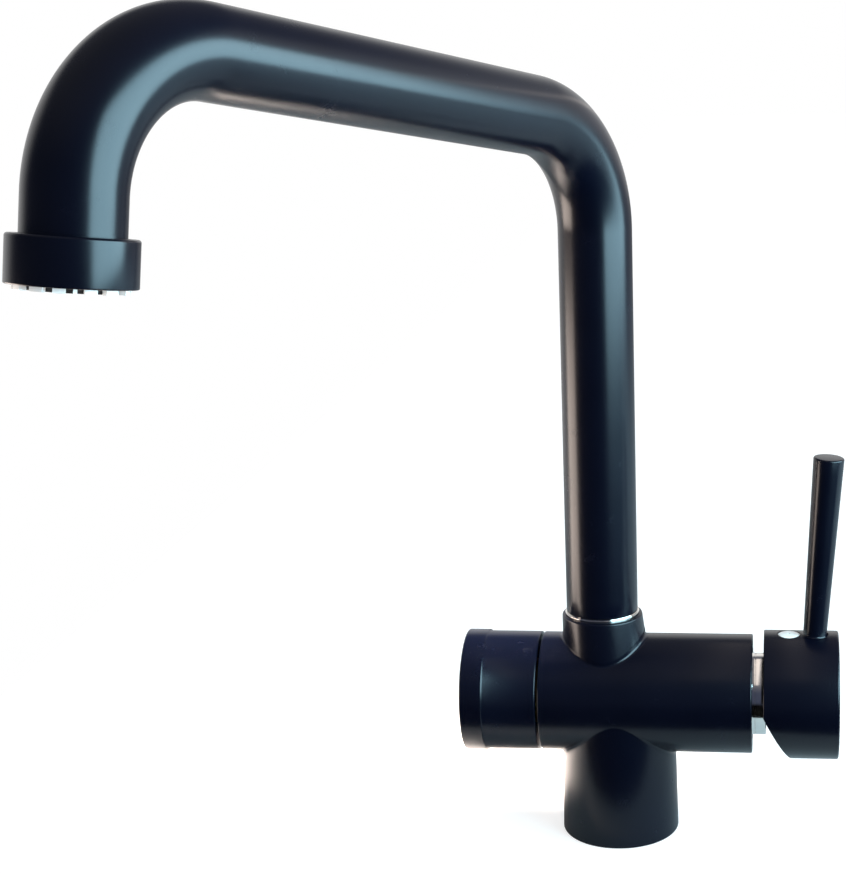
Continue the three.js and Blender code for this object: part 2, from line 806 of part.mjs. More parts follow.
const indicatorGroup = frameGroup(indicatorFrame, mixer);
const plugDrop = 0.5; // of the plug's rim below the handle's crown
add(
  indicatorGroup,
  "indicator_plug",
  turned(
    [
      [0, seatGap - indicatorRecess],
      [indicatorRadius, seatGap - indicatorRecess],
      [indicatorRadius, -plugDrop],
      [indicatorRadius * 0.8, indicatorDome * 0.36 - plugDrop],
      [indicatorRadius * 0.4, indicatorDome * 0.84 - plugDrop],
      [0, indicatorDome - plugDrop],
    ],
    midSides,
  ),
  whitePlastic,
);
const handleScrewLength = 8;
const handleScrewGroup = frameGroup(
  new THREE.Matrix4().makeTranslation(0, 0, stemWidth / 2 + seatGap + handleScrewLength - handleRadius),
  indicatorGroup,
);
add(handleScrewGroup, "handle_set_screw", setScrew(handleScrewRadius, handleScrewLength), steel);

// ---- Filter valve ----

const valveSeatTop = valveSeatThickness - valvePocketDepth;
const valveFixedTop = valveSeatTop + valveDiscThickness;
const valveMovingBottom = valveFixedTop + slidingGap;
const valveMovingTop = valveMovingBottom + valveDiscThickness;
const valveShoulder = valveWasherThickness - 0.4; // the valve body's inner step, above the discs
const hexTop = valveWasherThickness + valveHexLength;
const barrelTop = hexTop + valveBarrelLength;
const valvePortRadius = 2;
const valvePorts = (from, to) => [
  bar(lineRadius - lineWall, [0, 0, from], [0, 0, to]),
  bar(valvePortRadius, [-5.8, 0, from], [-5.8, 0, to]),
];
const tangWidth = 2.4;
const tangLength = 10;
const tangHeight = 1.2;
const spindleRingStation = hexTop + 2.4;
const spindleRingThickness = 1.1;
const spindleGroove = spindleRadius - 1.2;
const clipFrom = barrelTop + slidingGap;

function valveBody() {
  const shape = turned(
    [
      [valveDiscRadius + 0.4, valveSeatTop + 0.2],
      [valveThreadRadius, valveSeatTop + 0.2],
      [valveThreadRadius, valveWasherThickness],
      [valveBarrelRadius, valveWasherThickness],
      [valveBarrelRadius, barrelTop],
      [spindleRadius + slipGap, barrelTop],
      [spindleRadius + slipGap, valveShoulder],
      [valveDiscRadius + 0.4, valveShoulder],
    ],
    midSides,
  );
  const hexRadius = valveHexWidth / Math.sqrt(3);
  const hex = solid(
    new THREE.CylinderGeometry(hexRadius, hexRadius, valveHexLength, 6)
      .rotateX(Math.PI / 2)
      .translate(0, 0, valveWasherThickness + valveHexLength / 2),
  );
  const hexFlange = cut(hex, rod(valveBarrelRadius - 1, 0, hexTop + 1, midSides));
  return join(shape, hexFlange);
}

function filterSpindle() {
  const flangeTop = valveShoulder - slipGap;
  const ringHalf = spindleRingThickness / 2 + 0.2;
  const shaft = turned(
    [
      [0, valveMovingTop],
      [valveDiscRadius, valveMovingTop],
      [valveDiscRadius, flangeTop],
      [spindleRadius, flangeTop],
      [spindleRadius, spindleRingStation - ringHalf],
      [spindleGroove, spindleRingStation - ringHalf],
      [spindleGroove, spindleRingStation + ringHalf],
      [spindleRadius, spindleRingStation + ringHalf],
      [spindleRadius, clipFrom],
      [spindleGroove, clipFrom],
      [spindleGroove, clipFrom + clipThickness + 2 * seatGap],
      [splineRadius, clipFrom + clipThickness + 2 * seatGap],
      [splineRadius, spindleEnd],
      [0, spindleEnd],
    ],
    midSides,
  );
  const tangMiddle = valveMovingTop + (0.5 - tangHeight) / 2;
  const tang = block([tangLength, tangWidth, tangHeight + 0.5], [0, 0, tangMiddle]);
  const screwHole = rod(knobScrewRadius + slipGap, spindleEnd - knobScrewLength, spindleEnd + 1);
  return cut(join(shaft, tang), screwHole);
}

const knobEnd = knobGap + knobLength;
const knobFloor = knobEnd - knobEndWall;
const spindleEnd = knobFloor - 0.5;
const knobScrewRadius = 2;
const knobScrewLength = 8.5;
const knobScrewHeadRadius = 3.6;
const knobScrewHeadHeight = 1;
const capRecess = knobEnd - knobCapThickness - 0.2;

function filterKnob() {
  const rimFrom = knobEnd - knobRimWidth;
  const step = knobRimRadius - knobRadius;
  const inner = knobRadius - knobWall;
  const bossFrom = barrelTop + slidingGap + clipThickness + 0.6;
  const shell = turned(
    [
      [inner, knobGap],
      ...arc(knobRadius - knobEdge, knobGap + knobEdge, knobEdge, -90, 0),
      [knobRadius, rimFrom - step],
      [knobRimRadius, rimFrom],
      ...arc(knobRimRadius - knobEdge, knobEnd - knobEdge, knobEdge, 0, 90),
      [0, knobEnd],
      [0, knobFloor],
      [inner, knobFloor],
    ],
    wideSides,
  );
  const boss = rod(knobBossRadius, bossFrom, knobFloor + 1, midSides);
  return cut(
    join(shell, boss),
    rod(splineRadius + 0.2, bossFrom - 1, knobFloor - 0.2, midSides),
    rod(knobScrewRadius + slipGap, knobFloor - 1, knobEnd + 1),
    rod(knobScrewHeadRadius + slipGap, capRecess - knobScrewHeadHeight - 0.2, knobEnd + 1, midSides),
    rod(knobCapRadius + slipGap, capRecess, knobEnd + 1, midSides),
  );
}

function knobScrew() {
  const headFrom = capRecess - knobScrewHeadHeight - 0.2;
  const headTo = headFrom + knobScrewHeadHeight;
  const screw = turned(
    [
      [0, spindleEnd - knobScrewLength + 0.5],
      [knobScrewRadius, spindleEnd - knobScrewLength + 0.5],
      [knobScrewRadius, headFrom],
      [knobScrewHeadRadius, headFrom],
      [knobScrewHeadRadius, headTo],
      [0, headTo],
    ],
    smallSides,
  );
  return cut(screw, block([4, 0.8, 1.2], [0, 0, headTo]), block([0.8, 4, 1.2], [0, 0, headTo]));
}

add(
  filter,
  "filter_valve_seat",
  cut(
    rod(valveDiscRadius, -valvePocketDepth, valveSeatTop, midSides),
    ...valvePorts(-valvePocketDepth - 1, valveSeatTop + 1),
  ),
  rubber,
);
add(
  filter,
  "filter_fixed_disc",
  cut(
    rod(valveDiscRadius, valveSeatTop, valveFixedTop, midSides),
    ...valvePorts(valveSeatTop - 1, valveFixedTop + 1),
  ),
  ceramic,
);
add(
  filter,
  "filter_moving_disc",
  cut(
    rod(valveDiscRadius - slipGap, valveMovingBottom, valveMovingTop, midSides),
    bar(valvePortRadius, [0, 5.2, valveMovingBottom - 1], [0, 5.2, valveMovingBottom + 1]),
    rod(valvePortRadius, valveMovingBottom - 1, valveMovingBottom + 1),
    block([4, 5.2, 2], [0, 2.6, valveMovingBottom]),
    block([tangLength + 0.6, tangWidth + 0.4, 2 * (tangHeight + 0.2)], [0, 0, valveMovingTop]),
  ),
  ceramic,
);
add(filter, "filter_valve_body", valveBody(), brass);
add(
  filter,
  "filter_valve_washer",
  ring(valveThreadRadius + slipGap, valveHexWidth / 2 + 0.3, 0, valveWasherThickness),
  rubber,
);
add(filter, "filter_spindle", filterSpindle(), brass);
add(
  filter,
  "spindle_o_ring",
  oRing(spindleGroove + 0.15 + spindleRingThickness / 2, spindleRingThickness, spindleRingStation),
  rubber,
);
add(
  filter,
  "spindle_clip",
  cut(
    ring(spindleGroove + 0.2, spindleRadius + 1.8, clipFrom + seatGap, clipFrom + seatGap + clipThickness),
    block([2 * spindleRadius, 2.4, 4], [-spindleRadius, 0, barrelTop]),
  ),
  steel,
);
add(filter, "filter_knob", filterKnob(), blackPaint);
add(filter, "knob_screw", knobScrew(), steel);
add(
  filter,
  "knob_end_cap",
  turned(
    [
      [0, capRecess],
      [knobCapRadius, capRecess],
      [knobCapRadius, knobEnd - 0.4],
      [knobCapRadius - 0.3, knobEnd - 0.1],
      [0, knobEnd - 0.1],
    ],
    midSides,
  ),
  blackPaint,
);

// ---- Neck fittings ----

const tubeBottom = neckTop + glideRingThickness + seatGap;
const shankBottom = neckTop - shankLength;
const shankRadius = neckBoreRadius - 0.4;
const shankInTube = tubeRadius - tubeWall - slipGap;
const glideRingWithin = Math.max(shankRadius, shankInTube); // the ring clears both widths of the shank
const shankRingHalf = shankRingThickness / 2 + 0.3;
const shankGroove = shankRadius - shankRingThickness;
const shankRingStations = [shankBottom + 3, shankBottom + 8.4];
const setScrewGrooveHalf = setScrewRadius + 0.25;
const spigotBottom = neckFloor - spigotSeatDepth;
const spigotTop = spigotBottom + spigotHeight + spigotSeatDepth;
const lineRingThickness = 1.3;
const lineRingStation = spigotTop - 4.5;
const lineBottom = lineRingStation - 3;

add(
  swivel,
  "spout_glide_ring",
  ring(
    glideRingWithin + slipGap,
    glideRingWithin + glideRingWidth,
    neckTop,
    neckTop + glideRingThickness,
    wideSides,
  ),
  chrome,
);

const setScrewFrame = axisFrame(
  new THREE.Vector3(0, 1, 0),
  upwards,
  new THREE.Vector3(neckOffset, neckRadius, setScrewHeight),
);
const setScrewTip = shankGroove + slipGap;
add(frameGroup(setScrewFrame), "spout_set_screw", setScrew(setScrewRadius, neckRadius - setScrewTip), steel);

// The spigot carries filtered water from the body up into the spout's inner line.
add(
  swivel,
  "filter_spigot",
  turned(
    [
      [lineRadius - lineWall, spigotBottom],
      [spigotRadius, spigotBottom],
      [spigotRadius, spigotTop],
      [lineRadius + slipGap, spigotTop],
      [lineRadius + slipGap, lineRingStation + 0.9],
      [lineRadius + lineRingThickness + 0.4, lineRingStation + 0.9],
      [lineRadius + lineRingThickness + 0.4, lineRingStation - 0.9],
      [lineRadius + slipGap, lineRingStation - 0.9],
      [lineRadius + slipGap, lineBottom - slipGap],
      [lineRadius - lineWall, lineBottom - slipGap],
    ],
    midSides,
  ),
  brass,
);

// ---- Spout ----

// The spout's axis: riser, bend, arm, bend and outlet, all in the plane of local x and z. Its parameter steps
// from station to station, so the straight runs take one step each and the bends take many.
class SpoutLine extends THREE.Curve {
  constructor(from, outletTo, bendStep) {
    super();
    const rise = THREE.MathUtils.degToRad(armRise);
    const lean = THREE.MathUtils.degToRad(outletLean);
    const up = new THREE.Vector3(0, 0, 1);
    const arm = new THREE.Vector3(Math.cos(rise), 0, Math.sin(rise));
    this.outletWay = new THREE.Vector3(Math.sin(lean), 0, -Math.cos(lean));
    this.innerCorner = new THREE.Vector3(0, 0, riserCorner);
    this.outerCorner = this.innerCorner.clone().addScaledVector(arm, armLength);
    this.stations = [{ point: new THREE.Vector3(0, 0, from), way: up }];
    this.addBend(this.innerCorner, up, arm, riserBend, bendStep);
    this.addBend(this.outerCorner, arm, this.outletWay, outletBend, bendStep);
    const end = this.outerCorner.clone().addScaledVector(this.outletWay, outletTo);
    this.stations.push({ point: end, way: this.outletWay });
  }
  addBend(corner, before, after, radius, bendStep) {
    const angle = before.angleTo(after);
    const start = corner.clone().addScaledVector(before, -radius * Math.tan(angle / 2));
    const inward = after.clone().addScaledVector(before, -after.dot(before)).normalize();
    const steps = Math.ceil(angle / bendStep);
    for (let i = 0; i <= steps; i++) {
      const a = (angle * i) / steps;
      const point = start
        .clone()
        .addScaledVector(before, radius * Math.sin(a))
        .addScaledVector(inward, radius * (1 - Math.cos(a)));
      const way = before.clone().multiplyScalar(Math.cos(a)).addScaledVector(inward, Math.sin(a));
      this.stations.push({ point, way });
    }
  }
  get steps() {
    return this.stations.length - 1;
  }
  getUtoTmapping(u) {
    return u;
  }
  getPoint(t, target = new THREE.Vector3()) {
    return this.between(t, "point", target);
  }
  getTangent(t, target = new THREE.Vector3()) {
    return this.between(t, "way", target).normalize();
  }
  between(t, key, target) {
    const place = t * this.steps;
    const here = Math.min(Math.floor(place + 1e-9), this.steps - 1);
    return target.lerpVectors(this.stations[here][key], this.stations[here + 1][key], place - here);
  }
}

function pipe(line, outer, inner, sides) {
  const section = new THREE.Shape().absarc(0, 0, outer, 0, 2 * Math.PI);
  section.holes.push(new THREE.Path().absarc(0, 0, inner, 0, 2 * Math.PI));
  const options = { steps: line.steps, curveSegments: sides / 2, extrudePath: line };
  return solid(new THREE.ExtrudeGeometry(section, options));
}

const degree = Math.PI / 180;
const tubeEnd = collarStart + tubeInCollar;
const tubeLine = new SpoutLine(tubeBottom, tubeEnd, 12 * degree);
const sealFrom = tubeEnd + seatGap;
const aeratorFrom = sealFrom + aeratorSealThickness + seatGap;
const collarEnd = collarStart + collarLength;
const aeratorEnd = collarEnd + aeratorProud;
const nozzleEnd = aeratorEnd - 1;
const plateTo = aeratorEnd - plateDepth;
const plateFrom = plateTo - plateThickness;
const nozzleSocketFrom = tubeEnd - 7;
const lineEnd = tubeEnd - 2;
const innerLine = new SpoutLine(lineBottom, lineEnd, 20 * degree);

add(swivel, "spout_tube", pipe(tubeLine, tubeRadius, tubeRadius - tubeWall, 20), blackPaint);
add(swivel, "filtered_water_tube", pipe(innerLine, lineRadius, lineRadius - lineWall, 8), whitePlastic);
add(
  swivel,
  "filtered_tube_o_ring",
  oRing(lineRadius + 0.15 + lineRingThickness / 2, lineRingThickness, lineRingStation),
  rubber,
);

function spoutShank() {
  const profile = [
    [shankBoreRadius, shankBottom],
    [shankRadius, shankBottom],
  ];
  const groove = (from, to) => {
    profile.push([shankRadius, from], [shankGroove, from], [shankGroove, to], [shankRadius, to]);
  };
  shankRingStations.forEach((z) => groove(z - shankRingHalf, z + shankRingHalf));
  groove(setScrewHeight - setScrewGrooveHalf, setScrewHeight + setScrewGrooveHalf);
  profile.push(
    [shankRadius, tubeBottom - 0.2],
    [shankInTube, tubeBottom - 0.2],
    [shankInTube, tubeBottom + shankSpigotLength],
    [shankBoreRadius, tubeBottom + shankSpigotLength],
  );
  return turned(profile, insideSides);
}

add(swivel, "spout_shank", spoutShank(), brass);
["shank_lower_o_ring", "shank_upper_o_ring"].forEach((name, i) => {
  const centre = shankGroove + 0.25 + shankRingThickness / 2;
  add(swivel, name, oRing(centre, shankRingThickness, shankRingStations[i], insideSides), rubber);
});

// ---- Outlet ----

const outletFrame = axisFrame(tubeLine.outletWay, new THREE.Vector3(1, 0, 0), tubeLine.outerCorner);
const outlet = frameGroup(outletFrame, swivel);
const collarRadius = aeratorRadius + collarWall;

add(
  outlet,
  "outlet_collar",
  turned(
    [
      [tubeRadius + slipGap, collarStart],
      ...arc(collarRadius - collarEdge, collarStart + collarEdge, collarEdge, -90, 0),
      ...arc(collarRadius - 0.5, collarEnd - 0.5, 0.5, 0, 90),
      [aeratorRadius + slipGap, collarEnd],
      [aeratorRadius + slipGap, tubeEnd],
      [tubeRadius + slipGap, tubeEnd],
    ],
    wideSides,
  ),
  blackPaint,
);
add(
  outlet,
  "aerator_seal",
  ring(aeratorRadius - aeratorWall - 1, aeratorRadius, sealFrom, sealFrom + aeratorSealThickness),
  rubber,
);

function aeratorHousing() {
  const inner = aeratorRadius - aeratorWall;
  const seat = inner - 1.2;
  const shape = turned(
    [
      [seat, aeratorFrom],
      [aeratorRadius, aeratorFrom],
      [aeratorRadius, aeratorEnd],
      [inner, aeratorEnd],
      [inner, plateFrom - seatGap],
      [seat, plateFrom - seatGap],
    ],
    wideSides,
  );
  const slots = Array.from({ length: aeratorSlotCount }, (_, i) => {
    const bearing = new THREE.Matrix4().makeRotationZ((2 * Math.PI * i) / aeratorSlotCount);
    const slot = new THREE.BoxGeometry(3 * aeratorWall, aeratorSlotWidth, 2 * (aeratorProud - 0.2));
    return solid(slot.translate(aeratorRadius - aeratorWall / 2, 0, aeratorEnd).applyMatrix4(bearing));
  });
  return cut(shape, ...slots);
}

// Spray holes in two rings round the filtered water nozzle, and a skirt up to the lip.
function aeratorPlate() {
  const edge = aeratorRadius - aeratorWall - slipGap;
  const plate = ring(nozzleRadius + slipGap, edge, plateFrom, plateTo, midSides);
  const skirt = ring(edge - plateSkirtWall, edge, plateTo - 0.1, aeratorEnd - 0.3, midSides);
  const rings = [[8.2, 6], [11.4, 10]];
  const holes = rings.flatMap(([radius, count]) =>
    Array.from({ length: count }, (_, i) => {
      const bearing = (2 * Math.PI * i) / count;
      const [x, y] = [radius * Math.cos(bearing), radius * Math.sin(bearing)];
      return bar(sprayHoleRadius, [x, y, plateFrom - 1], [x, y, plateTo + 1], 6);
    }),
  );
  return cut(join(plate, skirt), ...holes);
}

add(outlet, "aerator_housing", aeratorHousing(), chrome);
add(outlet, "aerator_plate", aeratorPlate(), blackPlastic);
add(
  outlet,
  "filtered_nozzle",
  turned(
    [
      [lineRadius + slipGap, nozzleSocketFrom],
      [lineRadius + 1.5, nozzleSocketFrom],
      [lineRadius + 1.5, plateFrom - 1.2],
      [nozzleRadius + 1.6, plateFrom - 1.2],
      [nozzleRadius + 1.6, plateFrom - seatGap],
      [nozzleRadius, plateFrom - seatGap],
      [nozzleRadius, nozzleEnd - 0.5],
      [nozzleRadius - 0.5, nozzleEnd],
      [lineRadius - lineWall, nozzleEnd],
      [lineRadius - lineWall, lineEnd + slipGap],
      [lineRadius + slipGap, lineEnd + slipGap],
    ],
    midSides,
  ),
  whitePlastic,
);

export default tap;
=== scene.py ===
"""Dresses a three way filtered water tap: smooth turned and bent pieces, finishes, light and camera."""

import json
import math

import bmesh
import bpy
from mathutils import Matrix, Vector


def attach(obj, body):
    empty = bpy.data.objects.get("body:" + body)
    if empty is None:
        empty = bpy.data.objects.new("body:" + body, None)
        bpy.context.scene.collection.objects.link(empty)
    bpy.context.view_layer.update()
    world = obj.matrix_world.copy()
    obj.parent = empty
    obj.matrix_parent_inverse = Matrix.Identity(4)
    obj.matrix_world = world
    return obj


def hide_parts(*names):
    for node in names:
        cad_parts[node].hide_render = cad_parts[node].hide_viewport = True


bl_info = {
    "name": "Three Way Water Tap",
    "version": (1, 0, 0),
    "blender": (4, 5, 0),
    "location": "3D View > Sidebar > Tap",
    "description": "Builds the visible pieces of a three way filtered water tap around its solid model",
    "category": "Add Mesh",
}

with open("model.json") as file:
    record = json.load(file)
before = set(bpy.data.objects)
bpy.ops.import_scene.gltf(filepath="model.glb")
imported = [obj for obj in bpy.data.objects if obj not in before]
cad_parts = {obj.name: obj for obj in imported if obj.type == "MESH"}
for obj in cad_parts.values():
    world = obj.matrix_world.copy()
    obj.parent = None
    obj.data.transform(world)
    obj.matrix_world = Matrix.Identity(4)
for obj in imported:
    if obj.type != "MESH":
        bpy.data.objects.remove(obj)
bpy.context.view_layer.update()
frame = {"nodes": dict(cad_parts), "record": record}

MM = 0.001
UP = Vector((0, 0, 1))
BACK = Vector((0, 1, 0))
RIGHT = Vector((1, 0, 0))
LEFT = Vector((-1, 0, 0))
FULL_TURN = 2 * math.pi
BLACK = (0, 0, 0, 1)
WHITE = (1, 1, 1, 1)
FROM_MM = Matrix.Scale(MM, 4)
WELD = 1e-7  # corners closer than this are joined
PAST = 1.0  # millimetres that a cutter reaches past a face

# Sides round the turned shapes
HANDLE_SIDES = 192
BODY_SIDES = 144
CAP_SIDES = 128
TUBE_SIDES = 96
PLUG_SIDES = 72
BOSS_SIDES = 64
DRILLING_SIDES = 48
SPRAY_HOLE_SIDES = 12


# ---- Settings ----


def number(name, description, default, **kind):
    return bpy.props.FloatProperty(name=name, description=description, default=default, **kind)


def length(name, description, default_mm):
    return number(name, description, default_mm * MM, unit="LENGTH", subtype="DISTANCE", precision=5)


def angle(name, description, degrees):
    return number(name, description, math.radians(degrees), unit="ROTATION", subtype="ANGLE")


def level(name, description, default):
    return number(name, description, default, min=0, subtype="FACTOR")


def power(name, description, default):
    return number(name, description, default, min=0, unit="POWER")


def colour(name, description, default):
    return bpy.props.FloatVectorProperty(
        name=name, description=description, default=default, size=3, min=0, max=1, subtype="COLOR"
    )


class TapSizes(bpy.types.PropertyGroup):
    """Sizes of the visible pieces"""

    axis_height: length("Axis height", "Height of the body's axis above the deck", 61.4)
    barrel_radius: length("Barrel radius", "Radius of the body's barrel", 25.1)
    barrel_right: length("Barrel right end", "X of the end towards the mixer handle", 57.2)
    barrel_left: length("Barrel left end", "X of the end towards the filter knob", -32.2)
    foot_radius: length("Foot radius", "Radius of the foot at the deck", 25.0)
    stem_fillet: length("Stem fillet", "Rolled corner between the stem and the barrel", 2.4)
    neck_x: length("Neck X", "X of the swivel axis", -6.5)
    neck_top: length("Neck top", "Height of the neck's top", 97.0)
    neck_radius: length("Neck radius", "Radius of the neck at its top", 17.0)
    neck_fillet: length("Neck fillet", "Rolled corner between the neck and the barrel", 1.6)
    tube_radius: length("Tube radius", "Radius of the spout tube", 15.08)
    spout_bearing: angle("Spout bearing", "Where the spout points at rest, from +X", -119.1)
    riser_corner: length("Riser corner", "Height where the riser's axis meets the arm's", 300.5)
    arm_rise: angle("Arm rise", "Slope of the arm", 9.4)
    arm_length: length("Arm length", "Length of the arm between its corners", 253.0)
    outlet_lean: angle("Outlet lean", "How far the outlet leans outwards", 8.4)
    riser_bend: length("Riser bend", "Radius of the bend above the riser", 48.9)
    outlet_bend: length("Outlet bend", "Radius of the bend at the outlet", 46.1)
    collar_start: length("Collar start", "From the arm's outer corner to the collar", 58.3)
    collar_length: length("Collar length", "Length of the outlet collar", 14.4)
    collar_radius: length("Collar radius", "Radius of the outlet collar", 18.8)
    handle_start: length("Handle start", "X of the handle's rim", 61.9)
    handle_end: length("Handle end", "X of the handle's end face", 93.4)
    handle_radius: length("Handle radius", "Radius of the handle", 27.0)
    lever_length: length("Lever length", "Length of the lever above the handle", 76.8)
    lever_lean: angle("Lever lean", "How far the lever leans outwards", 3.85)
    knob_start: length("Knob start", "X of the knob's rim", -33.2)
    knob_end: length("Knob end", "X of the knob's end face", -65.1)
    knob_radius: length("Knob radius", "Radius of the filter knob", 25.2)


class TapFinishes(bpy.types.PropertyGroup):
    """Colours of the finishes"""

    black_paint: colour("Black paint", "Satin coat of the body, spout and handles", (0.0006, 0.0013, 0.0052))
    chrome: colour("Chrome", "Plated ring and nut", (0.87, 0.84, 0.8))
    brass: colour("Brass", "Machined inner pieces", (0.6, 0.43, 0.18))
    steel: colour("Steel", "Screws, pin and clip", (0.55, 0.56, 0.57))
    ceramic: colour("Ceramic", "Valve discs", (0.8, 0.78, 0.73))
    rubber: colour("Rubber", "Seals", (0.018, 0.018, 0.019))
    white_plastic: colour("White plastic", "Indicator, aerator and inner mouldings", (0.9, 0.9, 0.89))
    grey_plastic: colour("Grey plastic", "Cartridge's moving mouldings", (0.25, 0.27, 0.29))
    black_plastic: colour("Black plastic", "Aerator's spray plate", (0.02, 0.02, 0.022))


class StageSettings(bpy.types.PropertyGroup):
    """Floor and light"""

    floor_colour: colour("Floor", "Colour of the floor", (0.42, 0.42, 0.42))
    floor_lift: level("Floor lift", "Glow that the camera adds to the floor", 0.72)
    fill: level("Fill", "Level of the soft light from all round", 0.7)
    backdrop: level("Backdrop", "Level of the backdrop in gloss and metal", 0.9)
    ceiling: level("Ceiling", "Level of the ceiling in gloss and metal", 0.15)
    room: colour("Room", "The room in front, in gloss and metal", (0.05, 0.06, 0.1))
    left_power: power("Left window", "Power of the warm light on the left", 6.5)
    right_power: power("Right window", "Power of the cool light on the right", 26.0)
    strip_power: power("Overhead strip", "Power of the faint strip above the gap at the handle", 0.045)


# ---- Frames ----


def axis_frame(lengthwise, up, origin):
    """A frame whose Z looks along an axis and whose X looks up. The origin is in metres."""
    z = lengthwise.normalized()
    y = z.cross(up).normalized()
    x = y.cross(z)
    turn = Matrix((x, y, z)).transposed().to_4x4()
    return Matrix.Translation(origin) @ turn


def upright(x=0.0, y=0.0):
    return Matrix.Translation((x, y, 0))


# ---- Mesh helpers ----


def arc_points(r, z, radius, start, end, steps=6):
    """Points of a rounded corner: the arc's centre, its radius, and its start and end in degrees."""
    points = []
    for i in range(steps + 1):
        a = math.radians(start + (end - start) * i / steps)
        points.append((r + radius * math.cos(a), z + radius * math.sin(a)))
    return points


def turn_profile(mesh, profile, sides, place, closed=False):
    """Spins a profile of (radius, z) about Z and puts it in place. A closed profile makes a ring."""
    corners = [mesh.verts.new((r, 0, z)) for r, z in profile]
    pairs = list(zip(corners, corners[1:]))
    if closed:
        pairs.append((corners[-1], corners[0]))
    edges = [mesh.edges.new(pair) for pair in pairs]
    before = set(mesh.verts) - set(corners)
    bmesh.ops.spin(
        mesh,
        geom=corners + edges,
        cent=(0, 0, 0),
        axis=UP,
        dvec=(0, 0, 0),
        angle=FULL_TURN,
        steps=sides,
        use_merge=True,
        use_duplicate=False,
    )
    made = [v for v in mesh.verts if v not in before]
    bmesh.ops.remove_doubles(mesh, verts=made, dist=WELD)
    made = [v for v in mesh.verts if v not in before]
    bmesh.ops.transform(mesh, matrix=place, verts=made)


def only(kind, geometry):
    """The corners, edges or faces among what an operator gives back."""
    return [item for item in geometry if isinstance(item, kind)]


def grow(mesh, edges):
    """Extrudes a row of edges, and gives the new edges and their corners."""
    grown = bmesh.ops.extrude_edge_only(mesh, edges=edges)["geom"]
    return only(bmesh.types.BMEdge, grown), only(bmesh.types.BMVert, grown)


def mesh_data(mesh, name):
    """Turns a bmesh into mesh data and frees it."""
    data = bpy.data.meshes.new(name)
    mesh.to_mesh(data)
    mesh.free()
    return data


def cut_with(mesh, cutter):
    """The first bmesh with the second one taken out of it. Both come back as one new bmesh."""
    objects = []
    for part, label in ((mesh, "blank"), (cutter, "cutter")):
        bmesh.ops.recalc_face_normals(part, faces=part.faces)
        objects.append(bpy.data.objects.new(label, mesh_data(part, label)))
        bpy.context.scene.collection.objects.link(objects[-1])
    blank, tool = objects
    boolean = blank.modifiers.new("cut", "BOOLEAN")
    boolean.operation = "DIFFERENCE"
    boolean.solver = "EXACT"
    boolean.object = tool
    graph = bpy.context.evaluated_depsgraph_get()
    result = bmesh.new()
    result.from_object(blank, graph)
    for item in objects:
        data = item.data
        bpy.data.objects.remove(item)
        bpy.data.meshes.remove(data)
    return result


# ---- Shader helpers ----


class Value:
    """A number socket that takes part in Python sums by adding Math nodes."""

    def __init__(self, tree, socket):
        self.tree = tree
        self.socket = socket

    def _math(self, operation, first, second):
        node = self.tree.nodes.new("ShaderNodeMath")
        node.operation = operation
        for slot, item in enumerate((first, second)):
            if isinstance(item, Value):
                self.tree.links.new(item.socket, node.inputs[slot])
            else:
                node.inputs[slot].default_value = item
        return Value(self.tree, node.outputs[0])

    def __add__(self, other):
        return self._math("ADD", self, other)

    def __radd__(self, other):
        return self._math("ADD", other, self)

    def __sub__(self, other):
        return self._math("SUBTRACT", self, other)

    def __rsub__(self, other):
        return self._math("SUBTRACT", other, self)

    def __mul__(self, other):
        return self._math("MULTIPLY", self, other)

    def __rmul__(self, other):
        return self._math("MULTIPLY", other, self)

    def most(self, other):
        return self._math("MAXIMUM", self, other)


class Graph:
    """A node tree, with one way to add a node."""

    def __init__(self, tree):
        self.tree = tree

    def node(self, kind, settings, inputs):
        """Adds a node: its settings first, then the values or links of its sockets. Gives its outputs."""
        node = self.tree.nodes.new(kind)
        for name, value in settings.items():
            setattr(node, name, value)
        for name, value in inputs.items():
            if isinstance(value, Value):
                value = value.socket
            if isinstance(value, bpy.types.NodeSocket):
                self.tree.links.new(value, node.inputs[name])
            else:
                node.inputs[name].default_value = value
        return node.outputs

    def number(self, kind, settings, inputs, output=0):
        return Value(self.tree, self.node(kind, settings, inputs)[output])

    def ramp(self, value, low, high):
        """0 below the low value, 1 above the high one, and a smooth rise between them."""
        inputs = {"Value": value, "From Min": low, "From Max": high}
        return self.number("ShaderNodeMapRange", {"interpolation_type": "SMOOTHSTEP"}, inputs)

    def mixed(self, factor, first, second):
        """The first colour at 0, and the second at 1."""
        inputs = {0: factor, 6: first, 7: second}
        return self.node("ShaderNodeMix", {"data_type": "RGBA"}, inputs)[2]


